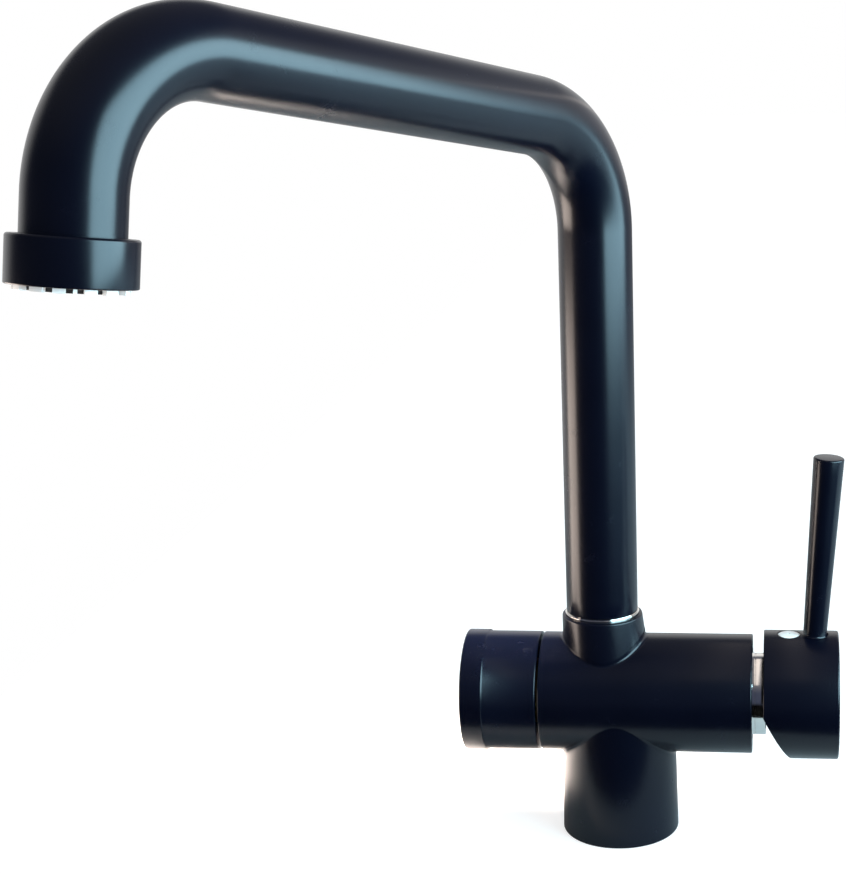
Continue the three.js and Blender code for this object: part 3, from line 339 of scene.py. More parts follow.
class Finish(Graph):
    """A material under construction."""

    def __init__(self, name, colour, roughness, metallic=0.0, specular=0.5):
        self.material = bpy.data.materials.new(name)
        self.material.use_nodes = True
        self.material.diffuse_color = (*colour, 1)
        super().__init__(self.material.node_tree)
        self.colour = colour
        self.shader = self.tree.nodes["Principled BSDF"]
        self.set("Base Color", (*colour, 1))
        self.set("Roughness", roughness)
        self.set("Metallic", metallic)
        self.set("Specular IOR Level", specular)
        self.place = self.node("ShaderNodeTexCoord", {}, {})["Object"]

    def set(self, socket, value):
        self.shader.inputs[socket].default_value = value

    def feed(self, socket, value):
        self.tree.links.new(value.socket if isinstance(value, Value) else value, self.shader.inputs[socket])

    def noise(self, per_metre, detail=3.0, roughness=0.5, stretch=None):
        place = self.place
        if stretch:
            place = self.node("ShaderNodeMapping", {}, {"Vector": place, "Scale": stretch})[0]
        inputs = {"Vector": place, "Scale": per_metre, "Detail": detail, "Roughness": roughness}
        return self.number("ShaderNodeTexNoise", {}, inputs)

    def shaded(self, factor, low, high):
        """The finish's colour between a darker and a lighter shade."""
        first, second = (tuple(min(1.0, c * share) for c in self.colour) + (1,) for share in (low, high))
        return self.mixed(factor, first, second)

    def bump(self, height, strength, distance_mm):
        inputs = {"Height": height, "Strength": strength, "Distance": distance_mm * MM}
        self.feed("Normal", self.node("ShaderNodeBump", {}, inputs)[0])


def black_paint_finish(colours):
    """Satin powder coat: near black, with a fine orange peel, faint rub marks and slightly uneven gloss."""
    paint = Finish("black_paint", colours.black_paint, 0.33, specular=0.36)
    cloud = paint.noise(38.0, 2.0)
    peel = paint.noise(1900.0, 2.0)
    grain = paint.noise(5200.0, 1.0)
    rub = paint.ramp(paint.noise(75.0, 5.0, 0.62), 0.6, 0.78)
    paint.feed("Base Color", paint.shaded(cloud + 0.5 * rub, 0.8, 1.3))
    paint.feed("Roughness", 0.21 + 0.05 * cloud + 0.04 * grain + 0.05 * rub)
    paint.bump(peel * 0.7 + grain * 0.3, 0.1, 0.02)
    return paint.material


def chrome_finish(colours):
    """Bright plating with faint turning lines and a thin haze."""
    chrome = Finish("chrome", colours.chrome, 0.1, metallic=1.0)
    haze = chrome.noise(260.0, 3.0)
    lines = chrome.noise(40.0, 2.0, stretch=(90.0, 1.0, 1.0))
    chrome.feed("Base Color", chrome.shaded(haze, 0.95, 1.04))
    chrome.feed("Roughness", 0.06 + 0.08 * haze + 0.03 * lines)
    chrome.bump(lines, 0.05, 0.01)
    return chrome.material


def brass_finish(colours):
    """Machined brass, slightly dulled."""
    brass = Finish("brass", colours.brass, 0.3, metallic=1.0)
    tarnish = brass.noise(120.0, 4.0)
    tooling = brass.noise(900.0, 2.0, stretch=(3.0, 0.4, 3.0))
    brass.feed("Base Color", brass.shaded(tarnish, 0.78, 1.1))
    brass.feed("Roughness", 0.24 + 0.16 * tarnish)
    brass.bump(tooling, 0.1, 0.02)
    return brass.material


def steel_finish(colours):
    """Plain steel of screws and clips."""
    steel = Finish("steel", colours.steel, 0.3, metallic=1.0)
    mottle = steel.noise(400.0, 3.0)
    steel.feed("Base Color", steel.shaded(mottle, 0.85, 1.1))
    steel.feed("Roughness", 0.24 + 0.14 * mottle)
    steel.bump(mottle, 0.08, 0.02)
    return steel.material


def ceramic_finish(colours):
    """Lapped ceramic discs."""
    ceramic = Finish("ceramic", colours.ceramic, 0.2)
    speck = ceramic.noise(1600.0, 2.0)
    ceramic.feed("Base Color", ceramic.shaded(speck, 0.93, 1.04))
    ceramic.feed("Roughness", 0.14 + 0.12 * speck)
    ceramic.bump(speck, 0.04, 0.01)
    return ceramic.material


def rubber_finish(colours):
    """Matt black rubber with a dusty bloom."""
    rubber = Finish("rubber", colours.rubber, 0.75, specular=0.3)
    bloom = rubber.noise(300.0, 4.0)
    rubber.feed("Base Color", rubber.shaded(bloom, 0.8, 1.8))
    rubber.feed("Roughness", 0.66 + 0.2 * bloom)
    rubber.bump(rubber.noise(2600.0, 2.0), 0.15, 0.02)
    return rubber.material


def plastic_finish(name, colour, roughness=0.34):
    """Moulded plastic with a fine spark texture."""
    plastic = Finish(name, colour, 0.4, specular=0.45)
    spark = plastic.noise(2400.0, 2.0)
    drift = plastic.noise(70.0, 2.0)
    plastic.feed("Base Color", plastic.shaded(drift, 0.95, 1.03))
    plastic.feed("Roughness", roughness + 0.12 * spark)
    plastic.bump(spark, 0.08, 0.02)
    return plastic.material


FINISH_MAKERS = {
    "black_paint": black_paint_finish,
    "chrome": chrome_finish,
    "brass": brass_finish,
    "steel": steel_finish,
    "ceramic": ceramic_finish,
    "rubber": rubber_finish,
    "white_plastic": lambda colours: plastic_finish("white_plastic", colours.white_plastic),
    "grey_plastic": lambda colours: plastic_finish("grey_plastic", colours.grey_plastic),
    "black_plastic": lambda colours: plastic_finish("black_plastic", colours.black_plastic, 0.5),
}


def finish_of(slot):
    """The material of a slot, made on first use."""
    found = bpy.data.materials.get("tap_" + slot)
    if not found:
        found = FINISH_MAKERS[slot](bpy.context.scene.tap_finishes)
        found.name = "tap_" + slot
    return found


# ---- Pieces ----


def finished_piece(mesh, name, body, slot, node, sharp=40):
    """Turns a bmesh into a piece with a slot's finish. It rides on a body and stands for a CAD node."""
    bmesh.ops.remove_doubles(mesh, verts=mesh.verts, dist=2 * WELD)
    bmesh.ops.recalc_face_normals(mesh, faces=mesh.faces)
    for face in mesh.faces:
        face.smooth = True
    data = mesh_data(mesh, name)
    data.set_sharp_from_angle(angle=math.radians(sharp))
    data.materials.append(finish_of(slot))
    piece = bpy.data.objects.new(name, data)
    bpy.context.scene.collection.objects.link(piece)
    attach(piece, body)
    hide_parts(node)


class PieceOperator:
    """What the operators of the pieces share. Their profiles and sizes are in millimetres."""

    bl_options = {"REGISTER", "UNDO"}

    @property
    def sizes(self):
        return bpy.context.scene.tap_sizes

    def mm(self, name):
        return getattr(self.sizes, name) / MM

    def body_axis(self, lengthwise=RIGHT):
        return axis_frame(lengthwise, UP, UP * self.sizes.axis_height) @ FROM_MM

    def swivel_frame(self):
        turn = Matrix.Rotation(self.sizes.spout_bearing, 4, "Z")
        return upright(self.sizes.neck_x) @ turn @ FROM_MM

    def arm_way(self):
        return Vector((math.cos(self.sizes.arm_rise), 0, math.sin(self.sizes.arm_rise)))

    def outlet_way(self):
        return Vector((math.sin(self.sizes.outlet_lean), 0, -math.cos(self.sizes.outlet_lean)))

    def outer_corner(self):
        return UP * self.mm("riser_corner") + self.arm_way() * self.mm("arm_length")

    def outlet_frame(self):
        return self.swivel_frame() @ axis_frame(self.outlet_way(), RIGHT, self.outer_corner())


class TAP_OT_body_casting(PieceOperator, bpy.types.Operator):
    """Builds the cast body: foot, stem, barrel, neck and their rolled corners"""

    bl_idname = "tap.body_casting"
    bl_label = "Body Casting"

    stem_taper = 0.019  # radius lost per millimetre of height
    neck_flare = 0.065  # radius gained, and centre moved towards the stem, per millimetre downwards
    port_places = ((9, 9), (9, -9), (-12, 0))
    stud_places = ((-7, 14), (-7, -14))
    thread_pitch = 1.0
    thread_depth = 0.45

    def stem_radius(self, z):
        return self.mm("foot_radius") - self.stem_taper * z

    def neck_radius(self, z):
        return self.mm("neck_radius") + self.neck_flare * (self.mm("neck_top") - z)

    def neck_centre(self, z):
        return self.mm("neck_x") + self.neck_flare * (self.mm("neck_top") - z)

    def barrel(self, mesh):
        left, right, radius = self.mm("barrel_left"), self.mm("barrel_right"), self.mm("barrel_radius")
        edge, chamfer = 0.6, 0.5
        valve_bore, valve_floor = 10.3, left + 10.3
        nut_bore, nut_floor = 19.4, right - 10.2
        pocket_bore, pocket_floor = 17.75, right - 12.2
        profile = [
            (0, valve_floor),
            (valve_bore, valve_floor),
            (valve_bore, left),
            *arc_points(radius - edge, left + edge, edge, -90, 0),
            *arc_points(radius - edge, right - edge, edge, 0, 90),
            (nut_bore + chamfer, right),
            (nut_bore, right - chamfer),
            (nut_bore, nut_floor),
            (pocket_bore, nut_floor),
            (pocket_bore, pocket_floor),
            (0, pocket_floor),
        ]
        turn_profile(mesh, profile, BODY_SIDES, self.body_axis())

    def stem_with_ports(self):
        """The stem with its threaded hose ports, stud holes and O-ring groove."""
        stem = bmesh.new()
        top = self.mm("axis_height") - 8  # inside the barrel
        edge, ring_radius, half_groove, groove_depth = 0.8, 21.0, 1.4, 2.6
        profile = [
            (0, top),
            (self.stem_radius(top), top),
            *arc_points(self.stem_radius(0) - edge, edge, edge, 0, -90),
            (ring_radius + half_groove, 0),
            (ring_radius + half_groove, groove_depth),
            (ring_radius - half_groove, groove_depth),
            (ring_radius - half_groove, 0),
            (0, 0),
        ]
        turn_profile(stem, profile, BODY_SIDES, FROM_MM)
        drillings = bmesh.new()
        for hole, places in (
            (self.port_profile(), self.port_places),
            (self.stud_profile(), self.stud_places),
        ):
            for x, y in places:
                turn_profile(drillings, hole, DRILLING_SIDES, upright(x * MM, y * MM) @ FROM_MM)
        return cut_with(stem, drillings)

    def port_profile(self):
        face_radius, face_depth, bore, chamfer, depth, runout = 6.0, 0.8, 4.4, 0.5, 14.0, 2.0
        waterway, waterway_top = 3.4, 40
        profile = [(0, -PAST), (face_radius, -PAST), (face_radius, face_depth), (bore + chamfer, face_depth)]
        z = face_depth + chamfer
        while z < depth - runout:
            profile += [(bore, z), (bore + self.thread_depth, z + self.thread_pitch / 2)]
            z += self.thread_pitch
        profile += [(bore, depth), (waterway, depth + 1), (waterway, waterway_top), (0, waterway_top + 1)]
        return profile

    def stud_profile(self):
        bore, chamfer, depth = 2.5, 0.4, 16
        mouth = bore + chamfer
        return [(0, -PAST), (mouth, -PAST), (mouth, 0), (bore, chamfer), (bore, depth), (0, depth + 1)]

    def neck(self):
        """The leaning neck, with its bore and the hole of the spout's screw."""
        blank = bmesh.new()
        top, edge, chamfer = self.mm("neck_top"), 0.8, 0.3
        foot = self.mm("axis_height") + 6  # inside the barrel
        bore, bore_floor = 14.3, top - 12
        profile = [
            (0, foot),
            (self.neck_radius(foot), foot),
            *arc_points(self.neck_radius(top) - edge, top - edge, edge, 0, 90),
            (bore + chamfer, top),
            (bore, top - chamfer),
            (bore, bore_floor),
            (0, bore_floor),
        ]
        lean = Matrix.Identity(4)
        lean[0][2], lean[0][3] = -self.neck_flare, self.neck_centre(0)
        turn_profile(blank, profile, BODY_SIDES, FROM_MM @ lean)
        drill = bmesh.new()
        screw_bore, mouth, sink_from, sink_to, outside = 2.15, 2.5, 2.1, 2.5, 5
        hole_start, hole_drop = 14.0, 6.85  # from the swivel axis, and below the neck's top
        hole = [
            (0, -PAST),
            (screw_bore, -PAST),
            (screw_bore, sink_from),
            (mouth, sink_to),
            (mouth, outside),
            (0, outside),
        ]
        place = Vector((self.sizes.neck_x, hole_start * MM, (top - hole_drop) * MM))
        turn_profile(drill, hole, DRILLING_SIDES, axis_frame(BACK, UP, place) @ FROM_MM)
        return cut_with(blank, drill)

    def corner_section(self, bearing, radius_at, centre_at, upward, fillet):
        """The line that a rolled ball leaves at one bearing, with its two ends sunk in the walls."""
        arc_steps, rounds, sunk, tail = 12, 5, 0.03, 1.2
        barrel, height = self.mm("barrel_radius"), self.mm("axis_height")
        reach = barrel + fillet
        outward = Vector((math.cos(bearing), math.sin(bearing), 0))
        y, z = 0.0, height + upward * barrel
        for _ in range(rounds):
            y = (radius_at(z) + fillet) * outward.y
            z = height + upward * math.sqrt(reach * reach - y * y)
        ball = Vector((centre_at(z) + (radius_at(z) + fillet) * outward.x, y, z))
        to_wall = -outward
        to_barrel = Vector((0, -y, height - z)).normalized()
        points = [ball + to_wall * fillet + Vector((0, 0, upward * tail)) + to_wall * sunk]
        for step in range(arc_steps + 1):
            points.append(ball + to_wall.slerp(to_barrel, step / arc_steps) * fillet)
        away = points[-1] + outward * tail
        off_axis = Vector((0, away.y, away.z - height)).normalized() * (barrel - sunk)
        points.append(Vector((away.x, off_axis.y, height + off_axis.z)))
        return [p * MM for p in points]

    def rolled_corner(self, mesh, radius_at, centre_at, upward, fillet):
        """A ball rolled round an upright wall where it meets the barrel leaves this strip."""
        sections = 192
        section = self.corner_section(0.0, radius_at, centre_at, upward, fillet)
        first = last = [mesh.verts.new(p) for p in section]
        strip = [mesh.edges.new(pair) for pair in zip(first, first[1:])]
        for i in range(1, sections + 1):
            section = self.corner_section(FULL_TURN * i / sections, radius_at, centre_at, upward, fillet)
            strip, fresh = grow(mesh, strip)
            order = {v: min(range(len(last)), key=lambda k: (last[k].co - v.co).length) for v in fresh}
            for vert, place in order.items():
                vert.co = section[place]
            last = sorted(fresh, key=order.get)
        bmesh.ops.remove_doubles(mesh, verts=first + last, dist=WELD)

    def execute(self, context):
        body = bmesh.new()
        self.barrel(body)
        for part in (self.stem_with_ports(), self.neck()):
            data = mesh_data(part, "part")
            body.from_mesh(data)
            bpy.data.meshes.remove(data)
        self.rolled_corner(body, self.stem_radius, lambda z: 0.0, -1, self.mm("stem_fillet"))
        self.rolled_corner(body, self.neck_radius, self.neck_centre, 1, self.mm("neck_fillet"))
        finished_piece(body, "body_casting", "tap_body", "black_paint", "mixer_body")
        return {"FINISHED"}


class TAP_OT_seals_and_rings(PieceOperator, bpy.types.Operator):
    """Builds the foot's O-ring and the bright ring under the spout"""

    bl_idname = "tap.seals_and_rings"
    bl_label = "Seals and Rings"

    def execute(self, context):
        seal = bmesh.new()
        seal_radius, seal_height, cord_radius = 21.0, 1.3, 1.2
        section = arc_points(seal_radius, seal_height, cord_radius, 0, 345, 23)  # a point every 15 degrees
        turn_profile(seal, section, BODY_SIDES, FROM_MM, closed=True)
        finished_piece(seal, "foot_o_ring", "tap_body", "rubber", "base_o_ring")
        ring = bmesh.new()
        bottom, thickness, inner, outer, edge = self.mm("neck_top"), 1.3, 14.2, 15.7, 0.2
        gap, rim = bottom + 0.55, bottom + thickness - 0.25
        waist, collar = outer - 0.75, outer - 0.7
        profile = [
            (inner, bottom),
            (waist, bottom),
            (waist, gap),
            *arc_points(outer - edge, gap + edge, edge, -90, 0, 3),
            *arc_points(outer - edge, rim - edge, edge, 0, 90, 3),
            (collar, rim),
            (collar, bottom + thickness),
            (inner, bottom + thickness),
        ]
        turn_profile(ring, profile, BODY_SIDES, self.swivel_frame(), closed=True)
        finished_piece(ring, "glide_ring", "tap_body", "chrome", "spout_glide_ring")
        return {"FINISHED"}


class TAP_OT_spout_tube(PieceOperator, bpy.types.Operator):
    """Bends the spout's tube from its riser to its outlet"""

    bl_idname = "tap.spout_tube"
    bl_label = "Spout Tube"

    bend_step = math.radians(1.5)
    straight_steps = 24
    outlet_steps = 4
    seat = 1.4  # from the neck's top to the tube's end
    in_collar = 4.6
    rounding = 0.4  # how far a rounded end runs out
    end_steps = ((0.12, 0.28), (0.4, 0.12), (1.5, 0.0), (0, -3.0))  # how far inwards, and how far along

    def execute(self, context):
        self.tube = bmesh.new()
        rise, lean = self.sizes.arm_rise, self.sizes.outlet_lean
        riser_bend, outlet_bend = self.mm("riser_bend"), self.mm("outlet_bend")
        first_turn = math.pi / 2 - rise
        second_turn = rise + math.pi / 2 - lean
        first_run = riser_bend * math.tan(first_turn / 2)
        second_run = outlet_bend * math.tan(second_turn / 2)
        arm, out = self.arm_way(), self.outlet_way()
        start_place = UP * (self.mm("neck_top") + self.seat + self.rounding)
        riser_top = UP * (self.mm("riser_corner") - first_run)
        radius = self.mm("tube_radius")
        made = bmesh.ops.create_circle(self.tube, cap_ends=False, segments=TUBE_SIDES, radius=radius)["verts"]
        bmesh.ops.translate(self.tube, vec=start_place, verts=made)
        self.end = list({e for v in made for e in v.link_edges})
        start = list(self.end)
        self.draw_out(riser_top - start_place, self.straight_steps)
        self.bend(riser_top, UP, first_turn, riser_bend)
        self.draw_out(arm * (self.mm("arm_length") - first_run - second_run), self.straight_steps)
        self.bend(self.outer_corner() - arm * second_run, arm, second_turn, outlet_bend)
        self.draw_out(out * (self.mm("collar_start") + self.in_collar - second_run), self.outlet_steps)
        self.turn_in(self.end, out)
        self.turn_in(start, -UP)
        bmesh.ops.transform(self.tube, matrix=self.swivel_frame(), verts=self.tube.verts)
        finished_piece(self.tube, "bent_tube", "spout", "black_paint", "spout_tube", sharp=60)
        return {"FINISHED"}

    def draw_out(self, way, steps):
        for _ in range(steps):
            self.end, verts = grow(self.tube, self.end)
            bmesh.ops.translate(self.tube, vec=way / steps, verts=verts)

    def bend(self, start, before, turn, radius):
        inward = Vector((before.z, 0, -before.x))
        spun = bmesh.ops.spin(
            self.tube,
            geom=list({v for e in self.end for v in e.verts}) + self.end,
            cent=start + inward * radius,
            axis=BACK,
            dvec=(0, 0, 0),
            angle=turn,
            steps=math.ceil(turn / self.bend_step),
            use_merge=False,
            use_duplicate=False,
        )["geom_last"]
        self.end = only(bmesh.types.BMEdge, spun)

    def turn_in(self, edges, way):
        """Rounds a cut end and takes its wall a little way back inside."""
        radius = self.mm("tube_radius")
        verts = {v for e in edges for v in e.verts}
        centre = sum((v.co for v in verts), Vector()) / len(verts)
        for inwards, along in self.end_steps:
            edges, verts = grow(self.tube, edges)
            centre += way * along
            for v in verts:
                v.co = centre + (v.co + way * along - centre) * (1 - inwards / radius)


class TAP_OT_outlet(PieceOperator, bpy.types.Operator):
    """Builds the collar, the aerator's slotted ring, its spray plate and the filtered water nozzle"""

    bl_idname = "tap.outlet"
    bl_label = "Outlet"

    slot_start = -51.8  # degrees, and from there each slot's step with its width in millimetres
    slot_steps = (
        *((-75, 1.2), (-51, 4.2), (-24, 3.0), (-3, 2.0), (8, 2.1), (29, 2.9), (55, 3.8), (75, 1.2)),
        *((105, 2.1), (129, 4.2), (156, 3.0), (177, 2.0), (188, 2.1), (209, 2.9), (235, 3.8), (255, 2.1)),
    )
    spray_rings = ((8.2, 12), (10.9, 18))  # radius, and how many holes

    def execute(self, context):
        place = self.outlet_frame()
        start = self.mm("collar_start")
        end = start + self.mm("collar_length")
        self.collar(place, start, end)
        self.aerator(place, end)
        self.spray_plate(place, end)
        self.nozzle(place, end)
        return {"FINISHED"}

    def collar(self, place, start, end):
        """The collar, with a groove round the tube where it starts."""
        collar = bmesh.new()
        radius, tube = self.mm("collar_radius"), self.mm("tube_radius") + 0.3
        edge, lip, bore, chamfer, seat = 0.9, 0.5, 16.9, 0.3, start + 4.6
        groove_depth, groove_width, groove_edge = 1.6, 1.0, 0.1
        profile = [
            (tube, start + groove_depth),
            (tube + groove_width - 2 * groove_edge, start + groove_edge),
            (tube + groove_width, start),
            *arc_points(radius - edge, start + edge, edge, -90, 0),
            *arc_points(radius - lip, end - lip, lip, 0, 90, 4),
            (bore + chamfer, end),
            (bore, end - chamfer),
            (bore, seat),
            (tube, seat),
        ]
        turn_profile(collar, profile, BODY_SIDES, place, closed=True)
        finished_piece(collar, "collar", "spout", "black_paint", "outlet_collar")

    def aerator(self, place, end):
        """The ring's lip has slots at uneven steps, which key it to its spanner."""
        ring, slots = bmesh.new(), bmesh.new()
        outer, inner, top, lip, edge = 16.6, 14.2, end - 8.1, end + 1.5, 0.2
        slot_length, slot_height = 4.0, 3.2
        profile = [
            (inner, top),
            (outer, top),
            *arc_points(outer - edge, lip - edge, edge, 0, 90, 3),
            (inner + edge, lip),
            (inner, lip - edge),
        ]
        turn_profile(ring, profile, BODY_SIDES, place, closed=True)
        for step, width in self.slot_steps:
            bearing = Matrix.Rotation(math.radians(self.slot_start - step), 4, "Z")
            size = Matrix.Diagonal((slot_length, width, slot_height, 1.0))
            block = Matrix.Translation(((outer + inner) / 2, 0, lip)) @ size
            bmesh.ops.create_cube(slots, size=1, matrix=place @ bearing @ block)
        cut = cut_with(ring, slots)
        finished_piece(cut, "aerator_ring", "spout", "white_plastic", "aerator_housing")

    def spray_plate(self, place, end):
        """The plate has a skirt up to the lip, which shows dark through the lip's slots."""
        plate, holes = bmesh.new(), bmesh.new()
        low, high, skirt_top = end - 5.1, end - 3.1, end + 1.4
        middle, outer, inner, edge, fillet = 5.3, 13.9, 12.9, 0.2, 0.4
        profile = [
            (middle, low),
            (outer, low),
            (outer, skirt_top - edge),
            (outer - edge, skirt_top),
            (inner + edge, skirt_top),
            (inner, skirt_top - edge),
            (inner, high + fillet),
            (inner - fillet, high),
            (middle, high),
        ]
        turn_profile(plate, profile, TUBE_SIDES, place, closed=True)
        bore, mouth, sink_from, sink_to = 0.65, 1.0, high - 0.25, high + 0.1
        hole = [
            (0, low - PAST),
            (bore, low - PAST),
            (bore, sink_from),
            (mouth, sink_to),
            (mouth, high + PAST),
            (0, high + PAST),
        ]
        for ring_radius, count in self.spray_rings:
            for i in range(count):
                bearing = Matrix.Rotation(FULL_TURN * i / count, 4, "Z")
                out = Matrix.Translation((ring_radius, 0, 0))
                turn_profile(holes, hole, SPRAY_HOLE_SIDES, place @ bearing @ out)
        cut = cut_with(plate, holes)
        finished_piece(cut, "spray_plate", "spout", "black_plastic", "aerator_plate")

    def nozzle(self, place, end):
        nozzle = bmesh.new()
        top, tip = end - 12, end + 0.5
        bore, socket, flange, outer, edge, chamfer = 3.0, 5.5, 6.6, 5.0, 0.6, 0.3
        flange_from, flange_to = end - 6.3, end - 5.2
        profile = [
            (bore, top),
            (socket, top),
            (socket, flange_from - 0.1),
            (flange, flange_from),
            (flange, flange_to),
            (outer, flange_to),
            *arc_points(outer - edge, tip - edge, edge, 0, 90, 4),
            (bore + chamfer, tip),
            (bore, tip - chamfer),
        ]
        turn_profile(nozzle, profile, TUBE_SIDES, place, closed=True)
        finished_piece(nozzle, "filtered_water_nozzle", "spout", "white_plastic", "filtered_nozzle")


class TAP_OT_cartridge_nut(PieceOperator, bpy.types.Operator):
    """Builds the bright nut that shows between the body and the handle"""

    bl_idname = "tap.cartridge_nut"
    bl_label = "Cartridge Nut"

    notch_width = 4
    notch_depth = 0.7

    def execute(self, context):
        nut = bmesh.new()
        end = self.mm("barrel_right")
        back, front, step = end - 10.1, end + 5.8, end - 2.2
        thread, outer, wide_bore, bore, edge = 19.1, 17.2, 15.5, 12.5, 0.6
        groove, groove_depth = end + 1.25, 0.15
        profile = [
            (wide_bore, back),
            (thread, back),
            (thread, end - 0.9),
            (outer + 0.1, end - 0.2),
            (outer, end),
            (outer, groove - 0.25),
            (outer - groove_depth, groove - 0.1),
            (outer - groove_depth, groove + 0.1),
            (outer, groove + 0.25),
            *arc_points(outer - edge, front - edge, edge, 0, 90, 4),
            (bore, front),
            (bore, step),
            (wide_bore, step),
        ]
        turn_profile(nut, profile, BODY_SIDES, self.body_axis(), closed=True)
        notches = bmesh.new()
        across = 40  # wider than the nut
        height = Matrix.Translation(UP * self.sizes.axis_height) @ FROM_MM
        for y, z in ((self.notch_width, across), (across, self.notch_width)):
            place = Matrix.Translation((front, 0, 0)) @ Matrix.Diagonal((2 * self.notch_depth, y, z, 1))
            bmesh.ops.create_cube(notches, size=1, matrix=height @ place)
        cut = cut_with(nut, notches)
        finished_piece(cut, "bright_nut", "tap_body", "chrome", "cartridge_nut")
        return {"FINISHED"}


class TAP_OT_mixer_handle(PieceOperator, bpy.types.Operator):
    """Builds the handle with its relief, lever and indicator"""

    bl_idname = "tap.mixer_handle"
    bl_label = "Mixer Handle"

    relief_start = 0.7  # below the axis
    relief_angle = math.radians(26)
    relief_edge = 0.45
    lever_inset = 21.5  # from the handle's rim
    indicator_inset = 10.6
    # The two holes in the crown: radius, and height above it
    lever_hole = ((0, -15), (3.3, -15), (3.3, -4), (5.1, -4), (5.1, -1.1), (5.7, -1.0), (5.7, 3), (0, 3))
    indicator_hole = ((0, -2.9), (4.8, -2.9), (4.8, -0.1), (5.1, 0.2), (5.1, 3), (0, 3))

    def execute(self, context):
        self.shell()
        self.lever()
        self.indicator()
        return {"FINISHED"}

    def top_frame(self, inset, lean=0.0):
        """A frame on the handle's crown, with Z outwards and leaning towards the end face."""
        way = Vector((math.sin(lean), 0, math.cos(lean)))
        crown = self.mm("axis_height") + self.mm("handle_radius")
        origin = Vector((self.mm("handle_start") + inset, 0, crown))
        return axis_frame(way, RIGHT, origin * MM) @ FROM_MM

    def shell(self):
        cup = bmesh.new()
        radius, start, end = self.mm("handle_radius"), self.mm("handle_start"), self.mm("handle_end")
        inner, floor = radius - 3.0, end - 3.6
        edge, rim, chamfer, fillet = 0.9, 0.5, 0.3, 1
        outline = [
            (0, floor),
            (inner - fillet, floor),
            (inner, floor - fillet),
            (inner, start + chamfer),
            (inner + chamfer, start),
            *arc_points(radius - rim, start + rim, rim, -90, 0, 4),
            *arc_points(radius - edge, end - edge, edge, 0, 90),
            (0, end),
        ]
        turn_profile(cup, outline, HANDLE_SIDES, self.body_axis())
        self.cut_relief(cup, start)
        for hole, inset, lean in (
            (self.lever_hole, self.lever_inset, self.sizes.lever_lean),
            (self.indicator_hole, self.indicator_inset, 0.0),
        ):
            drill = bmesh.new()
            turn_profile(drill, hole, BOSS_SIDES, self.top_frame(inset, lean))
            cup = cut_with(cup, drill)
        boss_radius, boss_start, boss_root = 7.5, start + 7.5, floor + 0.5
        boss = [
            (0, boss_root),
            (boss_radius, boss_root),
            (boss_radius, boss_start + chamfer),
            (boss_radius - chamfer, boss_start),
            (0, boss_start),
        ]
        turn_profile(cup, boss, BOSS_SIDES, self.body_axis())
        finished_piece(cup, "handle_cup", "mixer_handle", "black_paint", "handle_shell")

    def cut_relief(self, cup, start):
        """Slices the rim's lower part off at a slant and closes the wall again."""
        slope = self.relief_angle
        cut = bmesh.ops.bisect_plane(
            cup,
            geom=cup.verts[:] + cup.edges[:] + cup.faces[:],
            dist=WELD,
            plane_co=Vector((start, 0, self.mm("axis_height") - self.relief_start)) * MM,
            plane_no=Vector((-math.cos(slope), 0, -math.sin(slope))),
            clear_outer=True,
            clear_inner=False,
        )["geom_cut"]
        filled = bmesh.ops.edgeloop_fill(cup, edges=only(bmesh.types.BMEdge, cut))["faces"]
        bmesh.ops.recalc_face_normals(cup, faces=cup.faces)
        bmesh.ops.bevel(
            cup,
            geom=[e for f in filled for e in f.edges],
            offset=self.relief_edge * MM,
            offset_type="OFFSET",
            segments=3,
            profile=0.5,
            affect="EDGES",
            clamp_overlap=True,
            material=-1,
        )

    def lever(self):
        """The lever and its stud. It widens at once in a small hollow foot, and then slowly to its tip."""
        rod = bmesh.new()
        root, flare, tip, long, edge = 4.96, 0.65, 6.4, self.mm("lever_length"), 0.7
        stud, stud_end, shoulder, foot, hollow_top = 3.0, -13.9, -3.9, -0.95, 0.6
        hollow = [math.radians(15 * i) for i in range(7)]
        taper = [i / 12 for i in range(2, 12)]
        profile = [
            (0, stud_end),
            (stud, stud_end),
            (stud, shoulder),
            (root, shoulder),
            (root, foot),
            (root + flare, foot),
            *((root + flare * (1 - math.sin(a)), hollow_top - math.cos(a)) for a in hollow),
            *((root + (tip - root) * share, (long - edge) * share) for share in taper),
            *arc_points(tip - edge, long - edge, edge, 0, 90),
            (0, long),
        ]
        turn_profile(rod, profile, TUBE_SIDES, self.top_frame(self.lever_inset, self.sizes.lever_lean))
        finished_piece(rod, "lever", "mixer_handle", "black_paint", "lever_rod")

    def indicator(self):
        """A low dome with a dimple in its middle."""
        plug = bmesh.new()
        radius, bottom, drop, dome = 4.6, -2.8, 0.5, 0.6
        dimple, dimple_inside, dimple_depth = 0.75, 0.6, 0.9
        crown = [math.radians(9 * i) for i in range(10)]
        profile = [
            (0, bottom),
            (radius, bottom),
            *((radius * math.cos(a), dome * math.sin(a) - drop) for a in crown),
            (dimple, dome - drop),
            (dimple_inside, dome - drop - dimple_depth),
            (0, dome - drop - dimple_depth),
        ]
        turn_profile(plug, profile, PLUG_SIDES, self.top_frame(self.indicator_inset))
        finished_piece(plug, "indicator", "mixer_handle", "white_plastic", "indicator_plug")


